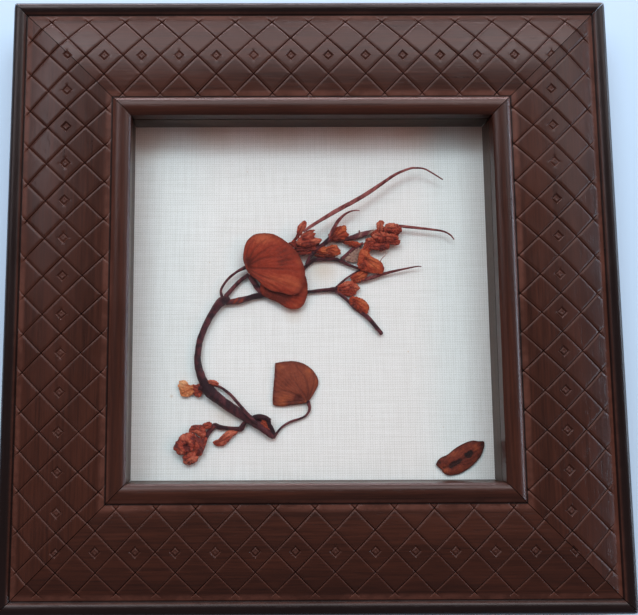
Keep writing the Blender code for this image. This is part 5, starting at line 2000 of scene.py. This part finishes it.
    @staticmethod
    def middle_florets() -> list[Stalk | Leaf]:
        """Shapes the florets between the two calyxes."""
        return [
            Lobe([
                (1.5, 15.1), (3.5, 15.3), (6.0, 15.0), (8.4, 14.7), (8.2, 14.2), (5.2, 14.2),
                (1.7, 14.5),
            ], (5.0, 14.7), 2.1, 1.8, 0.2, [], tone=0.06),
            Lobe([
                (0.4, 15.9), (0.8, 17.2), (2.1, 18.0), (3.8, 18.3), (5.1, 17.8), (6.0, 16.8),
                (6.0, 15.3), (4.0, 15.2), (2.3, 15.5),
            ], (2.6, 16.7), 2.7, 2.3, 0.5, [[(1.4, 16.2), (3.8, 15.6), (5.2, 15.4)]],
                blushes=[(4.4, 16.6, 1.1, 0.7)], shades=[(1.6, 16.8, 1.4, 0.5)], tone=0.47),
            Lobe([
                (4.7, 17.2), (6.4, 18.2), (7.9, 18.5), (9.0, 18.4), (9.5, 17.4), (10.1, 16.3),
                (10.1, 15.2), (8.9, 14.7), (7.4, 14.6), (5.9, 14.9), (4.9, 15.9),
            ], (6.2, 16.5), 3.0, 2.5, 0.8,
                [[(5.4, 16.6), (7.4, 17.2), (9.2, 17.6)], [(5.4, 16.2), (7.6, 16.0), (9.6, 15.6)],
                 [(6.0, 15.8), (7.4, 15.2)]],
                blushes=[(8.4, 17.6, 1.2, 0.3), (5.2, 16.4, 0.8, 0.4), (9.0, 15.8, 0.8, 0.2)],
                shades=[(9.6, 16.8, 0.6, 0.3), (6.4, 15.0, 0.8, 0.3)], tone=0.62),
        ]

    @staticmethod
    def orange_petal() -> list[Stalk | Leaf]:
        """Shapes the broad petal, its neck and its hair."""
        return [
            Lobe([
                (17.9, 17.6), (18.4, 19.0), (19.4, 19.4), (20.8, 18.8), (20.9, 17.4), (20.7, 16.4),
                (19.4, 15.4), (17.4, 15.6), (17.0, 16.6),
            ], (19.0, 17.2), 2.6, 2.2, 0.4, [[(18.0, 16.2), (18.8, 17.4), (19.8, 18.6)]],
                shades=[(20.4, 17.2, 0.8, 0.5), (19.4, 18.8, 0.8, 0.4)], tone=0.47),
            Lobe([
                (17.0, 16.6), (18.4, 17.2), (20.0, 16.4), (20.2, 15.2), (20.8, 14.4), (22.0, 13.8),
                (23.4, 13.0), (24.5, 11.9), (25.0, 10.4), (25.1, 9.3), (24.5, 8.5), (23.0, 8.4),
                (21.3, 8.6), (19.6, 9.0), (17.4, 9.6), (16.2, 10.3), (15.9, 11.9), (16.3, 14.2),
            ], (18.8, 13.2), 2.5, 2.3, 0.9,
                [[(18.4, 13.6), (20.4, 11.8), (22.8, 9.4)], [(18.8, 13.8), (21.0, 12.6), (23.8, 11.2)],
                 [(18.0, 13.0), (18.6, 11.2), (19.4, 9.6)]],
                blushes=[(21.4, 12.2, 2.4, 0.3), (18.6, 15.6, 1.2, 0.2)],
                shades=[(17.6, 11.2, 1.5, 0.6), (24.8, 10.4, 0.9, 0.6), (20.2, 9.4, 1.2, 0.25)],
                sides=112, rings=26, crumple=0.05, pleat=0.05, wrinkle_scale=1.6, tone=0.62),
            Stalk([(23.6, 12.4, 2.5, 0.14), (24.4, 13.7, 2.6, 0.12), (25.4, 14.6, 2.7, 0.08)]),
        ]

    @staticmethod
    def fork_florets() -> list[Stalk | Leaf]:
        """Shapes the florets that sit in the fork."""
        return [
            Lobe([
                (10.4, 2.6), (11.8, 3.0), (13.6, 2.6), (15.2, 2.2), (15.6, 1.6), (14.4, 1.1),
                (13.0, 0.8), (11.6, 1.1), (10.2, 1.6),
            ], (12.6, 1.9), 1.5, 1.1, 0.4, [[(11.0, 2.0), (13.0, 1.8), (14.8, 1.8)]], tone=0.47),
            Lobe([
                (8.6, 3.0), (9.4, 4.2), (10.8, 5.3), (12.4, 6.0), (14.0, 6.1), (14.9, 5.5), (13.9, 4.6),
                (13.8, 3.4), (12.6, 2.4), (11.0, 1.9), (9.6, 2.2),
            ], (11.2, 3.6), 1.8, 1.4, 0.7,
                [[(9.6, 3.2), (11.4, 3.8), (13.2, 4.6)], [(9.8, 2.8), (11.6, 2.7), (13.2, 3.0)]],
                blushes=[(12.2, 5.2, 1.2, 0.3)], shades=[(9.8, 3.4, 1.2, 0.4), (12.4, 2.8, 0.8, 0.3)]),
            Lobe([
                (12.4, 4.2), (13.6, 5.0), (14.9, 5.5), (15.9, 4.9), (16.7, 4.0), (16.4, 3.0),
                (15.5, 2.3), (14.2, 2.0), (12.8, 2.6),
            ], (14.0, 3.7), 2.1, 1.4, 0.5, [[(12.9, 3.7), (14.4, 3.4), (15.8, 3.4)]],
                blushes=[(15.6, 4.0, 1.0, 0.4)], shades=[(13.2, 3.4, 0.8, 0.4)], tone=0.62),
        ]

    @staticmethod
    def end_florets() -> list[Stalk | Leaf]:
        """Shapes the crowded florets at the end of the raceme."""
        return [
            Lobe([
                (19.2, 18.8), (20.4, 20.8), (22.0, 22.6), (23.2, 24.2), (25.4, 25.0), (27.6, 25.2),
                (30.2, 24.4), (30.6, 22.8), (29.8, 20.8), (29.6, 19.2), (27.4, 18.6), (25.6, 17.6),
                (22.6, 17.4), (20.4, 17.4),
            ], (25.0, 21.2), 2.4, 2.0, 0.3, [], tone=0.16, pleats=13),
            Lobe([
                (18.1, 17.6), (19.0, 18.9), (20.6, 19.2), (21.6, 18.4), (21.0, 17.3), (19.6, 16.6),
            ], (19.8, 18.0), 2.8, 2.4, 0.3, [], tone=0.37),
            Lobe([
                (20.4, 18.1), (22.0, 18.9), (23.7, 19.1), (25.4, 18.8), (27.0, 18.6), (27.1, 17.7),
                (26.7, 17.0), (25.4, 16.5), (24.2, 16.2), (22.5, 16.6), (20.6, 16.9),
            ], (23.9, 17.8), 2.9, 2.2, 0.6, [[(21.4, 17.6), (23.8, 17.6), (26.2, 17.8)]],
                blushes=[(23.0, 18.2, 1.0, 0.2)], shades=[(24.6, 16.9, 1.6, 0.5)], tone=0.42),
            Lobe([
                (26.6, 19.4), (27.7, 19.8), (29.4, 20.3), (30.7, 20.1), (30.9, 19.5), (30.3, 18.4),
                (29.1, 18.2), (27.7, 18.5),
            ], (28.8, 19.2), 2.8, 2.2, 0.5, [[(27.2, 19.2), (29.0, 19.2), (30.4, 19.4)]], tone=0.47),
            Lobe([
                (18.5, 19.2), (19.1, 20.3), (20.4, 21.0), (21.8, 20.8), (22.4, 19.8), (22.0, 18.6),
                (20.7, 18.2), (19.3, 18.3),
            ], (20.5, 19.6), 3.1, 2.4, 0.5, [[(19.2, 19.2), (20.8, 19.4), (22.0, 19.6)]],
                blushes=[(20.2, 20.4, 0.9, 0.3)], tone=0.54),
            Lobe([
                (20.6, 21.6), (21.2, 22.7), (22.4, 23.6), (23.2, 23.3), (23.2, 22.2), (22.2, 21.4),
            ], (22.0, 22.5), 3.2, 2.8, 0.3, [], tone=0.42),
            Lobe([
                (24.8, 22.2), (26.3, 22.4), (28.8, 22.0), (30.2, 21.1), (30.0, 20.2), (28.4, 19.5),
                (26.2, 19.3), (24.9, 20.4),
            ], (27.1, 20.9), 3.2, 2.6, 0.6, [[(25.4, 21.2), (27.4, 20.8), (29.4, 20.8)]],
                blushes=[(26.6, 21.6, 1.0, 0.3)], shades=[(28.6, 20.0, 0.9, 0.4)], tone=0.54),
            Lobe([
                (25.1, 24.2), (25.9, 25.6), (27.8, 26.0), (29.5, 25.7), (30.8, 25.0), (31.4, 24.2),
                (31.4, 23.0), (30.4, 22.3), (29.1, 21.8), (27.6, 22.0), (26.0, 22.6), (25.2, 23.3),
            ], (28.0, 23.8), 3.5, 2.6, 0.7,
                [[(26.4, 24.1), (27.8, 23.8), (29.4, 23.9)], [(26.2, 23.0), (27.2, 22.4), (28.8, 22.2)],
                 [(29.6, 24.8), (30.4, 23.6)]],
                blushes=[(27.8, 25.3, 1.3, 0.6), (26.2, 24.6, 0.8, 0.2)],
                shades=[(27.2, 22.4, 0.9, 0.4), (30.6, 23.2, 0.9, 0.2)], sides=112, rings=26, tone=0.52),
            Lobe([
                (22.8, 23.0), (22.6, 24.4), (22.8, 25.8), (23.4, 26.6), (24.3, 27.0), (25.1, 26.3),
                (25.1, 25.0), (24.9, 23.9), (24.5, 22.6), (23.5, 22.5),
            ], (23.8, 24.2), 3.6, 3.1, 0.5, [[(23.6, 23.0), (23.8, 24.8), (24.2, 26.4)]],
                blushes=[(23.8, 25.0, 1.2, 0.5)], shades=[(24.2, 26.7, 0.5, 0.4)], crumple=0.05),
            Lobe([
                (21.3, 22.4), (23.1, 23.1), (24.8, 22.9), (26.1, 22.0), (26.4, 20.4), (24.9, 19.3),
                (23.1, 19.3), (21.8, 20.3), (21.0, 21.2),
            ], (23.8, 21.1), 3.8, 2.9, 0.6,
                [[(22.0, 21.6), (23.6, 21.0), (25.4, 20.6)], [(23.4, 22.6), (24.2, 21.4), (24.8, 19.8)]],
                blushes=[(22.0, 21.4, 0.7, 0.9), (24.6, 22.2, 0.9, 0.3)],
                shades=[(25.2, 20.4, 0.8, 0.4), (22.6, 20.0, 0.8, 0.3)], tone=0.54),
        ]

    @staticmethod
    def lower_florets() -> list[Stalk | Leaf]:
        """Shapes the curled florets at the end of the lower shoot."""
        return [
            Lobe([
                (-37.0, -42.7), (-36.6, -42.0), (-35.9, -41.7), (-34.8, -41.4), (-33.8, -41.8),
                (-33.6, -42.6), (-34.0, -43.5), (-34.9, -43.9), (-35.9, -44.0), (-36.6, -43.4),
            ], (-35.3, -42.7), 2.8, 2.0, 0.4, [[(-36.4, -42.6), (-35.0, -42.8), (-34.0, -43.0)]],
                blushes=[(-35.8, -42.6, 0.9, 0.2)], shades=[(-34.8, -41.7, 0.8, 0.3)], tone=0.52),
            Lobe([
                (-41.5, -44.4), (-41.1, -43.5), (-40.2, -42.7), (-39.0, -42.4), (-37.5, -42.5),
                (-36.6, -43.2), (-35.7, -44.2), (-35.7, -45.4), (-36.3, -46.8), (-37.6, -46.4),
                (-38.7, -45.7), (-39.4, -45.2), (-40.4, -45.0), (-41.1, -44.9),
            ], (-38.2, -44.1), 3.0, 2.2, 0.6,
                [[(-40.6, -44.2), (-38.8, -43.9), (-37.0, -44.6)], [(-37.8, -43.2), (-37.0, -45.4)]],
                blushes=[(-38.6, -44.8, 1.1, 0.4), (-36.6, -45.6, 0.7, 0.3)],
                shades=[(-39.4, -42.8, 1.3, 0.6), (-37.2, -42.9, 0.9, 0.4)]),
            Lobe([
                (-43.5, -53.9), (-43.2, -52.7), (-42.0, -51.6), (-40.8, -51.0), (-39.3, -51.0),
                (-38.4, -52.0), (-38.1, -53.2), (-38.7, -54.6), (-39.8, -55.1), (-41.2, -55.7),
                (-42.4, -55.6), (-43.1, -55.1),
            ], (-40.9, -53.4), 2.9, 1.6, 0.7,
                [[(-42.6, -54.2), (-41.4, -53.2), (-39.8, -52.6)], [(-41.6, -55.0), (-40.2, -54.0)]],
                blushes=[(-39.8, -54.0, 1.2, 0.5), (-42.2, -55.0, 0.8, 0.4)],
                shades=[(-42.4, -52.8, 0.9, 0.4)]),
            Lobe([
                (-39.9, -46.4), (-38.9, -46.1), (-37.4, -46.7), (-36.2, -46.4), (-35.2, -47.0),
                (-35.4, -48.4), (-36.1, -49.8), (-36.7, -51.5), (-37.4, -52.7), (-38.6, -52.6),
                (-39.6, -51.2), (-39.9, -49.6), (-39.6, -47.8),
            ], (-37.7, -49.1), 3.2, 2.0, 0.5,
                [[(-39.0, -46.8), (-38.0, -48.4), (-37.4, -50.6)], [(-36.6, -47.6), (-36.6, -49.6)]],
                shades=[(-37.2, -47.5, 1.2, 0.4), (-37.2, -51.0, 1.2, 0.5)],
                blushes=[(-38.8, -48.6, 0.8, 0.25)], tone=0.37),
            Lobe([
                (-46.5, -50.3), (-46.0, -48.7), (-45.1, -47.5), (-44.2, -46.1), (-43.0, -45.3),
                (-41.5, -44.9), (-40.1, -45.2), (-38.9, -46.1), (-39.2, -47.5), (-39.1, -48.7),
                (-39.8, -49.9), (-40.5, -51.0), (-42.0, -51.6), (-42.9, -52.3), (-44.3, -52.4),
                (-45.5, -51.5),
            ], (-42.0, -49.2), 2.9, 2.6, 1.3,
                [[(-43.4, -47.9), (-42.5, -47.9), (-41.2, -48.6), (-40.3, -49.2)],
                 [(-45.4, -49.6), (-44.0, -50.6), (-42.8, -51.6)]],
                blushes=[(-42.6, -46.4, 1.2, 0.4), (-40.9, -48.1, 0.6, 0.5), (-43.6, -51.2, 1.0, 0.3)],
                shades=[(-42.2, -49.5, 0.9, 1.0), (-41.5, -50.2, 0.8, 0.8), (-45.6, -49.2, 1.1, 0.5),
                        (-44.9, -47.5, 0.9, 0.4), (-39.8, -46.9, 0.7, 1.0), (-39.5, -48.4, 0.7, 0.4)],
                raised=[(-42.1, -49.6, 1.0, -0.9), (-39.8, -46.9, 0.6, -0.6)],
                sides=128, rings=30, tone=0.54),
        ]

    def build(self) -> None:
        """Builds every piece of the plant."""
        for pieces in (self.stems(), self.twigs(), self.tails(), self.leaves(), self.flowers()):
            for piece in pieces:
                piece.build()


def main() -> None:
    """Builds and dresses every sub-assembly in order."""
    logging.basicConfig(level=logging.INFO, format="%(message)s")
    Setting().build()
    Moulding().build()
    Recess().build()
    BackFittings().build()
    Sprig().build()


if __name__ == "__main__":
    main()
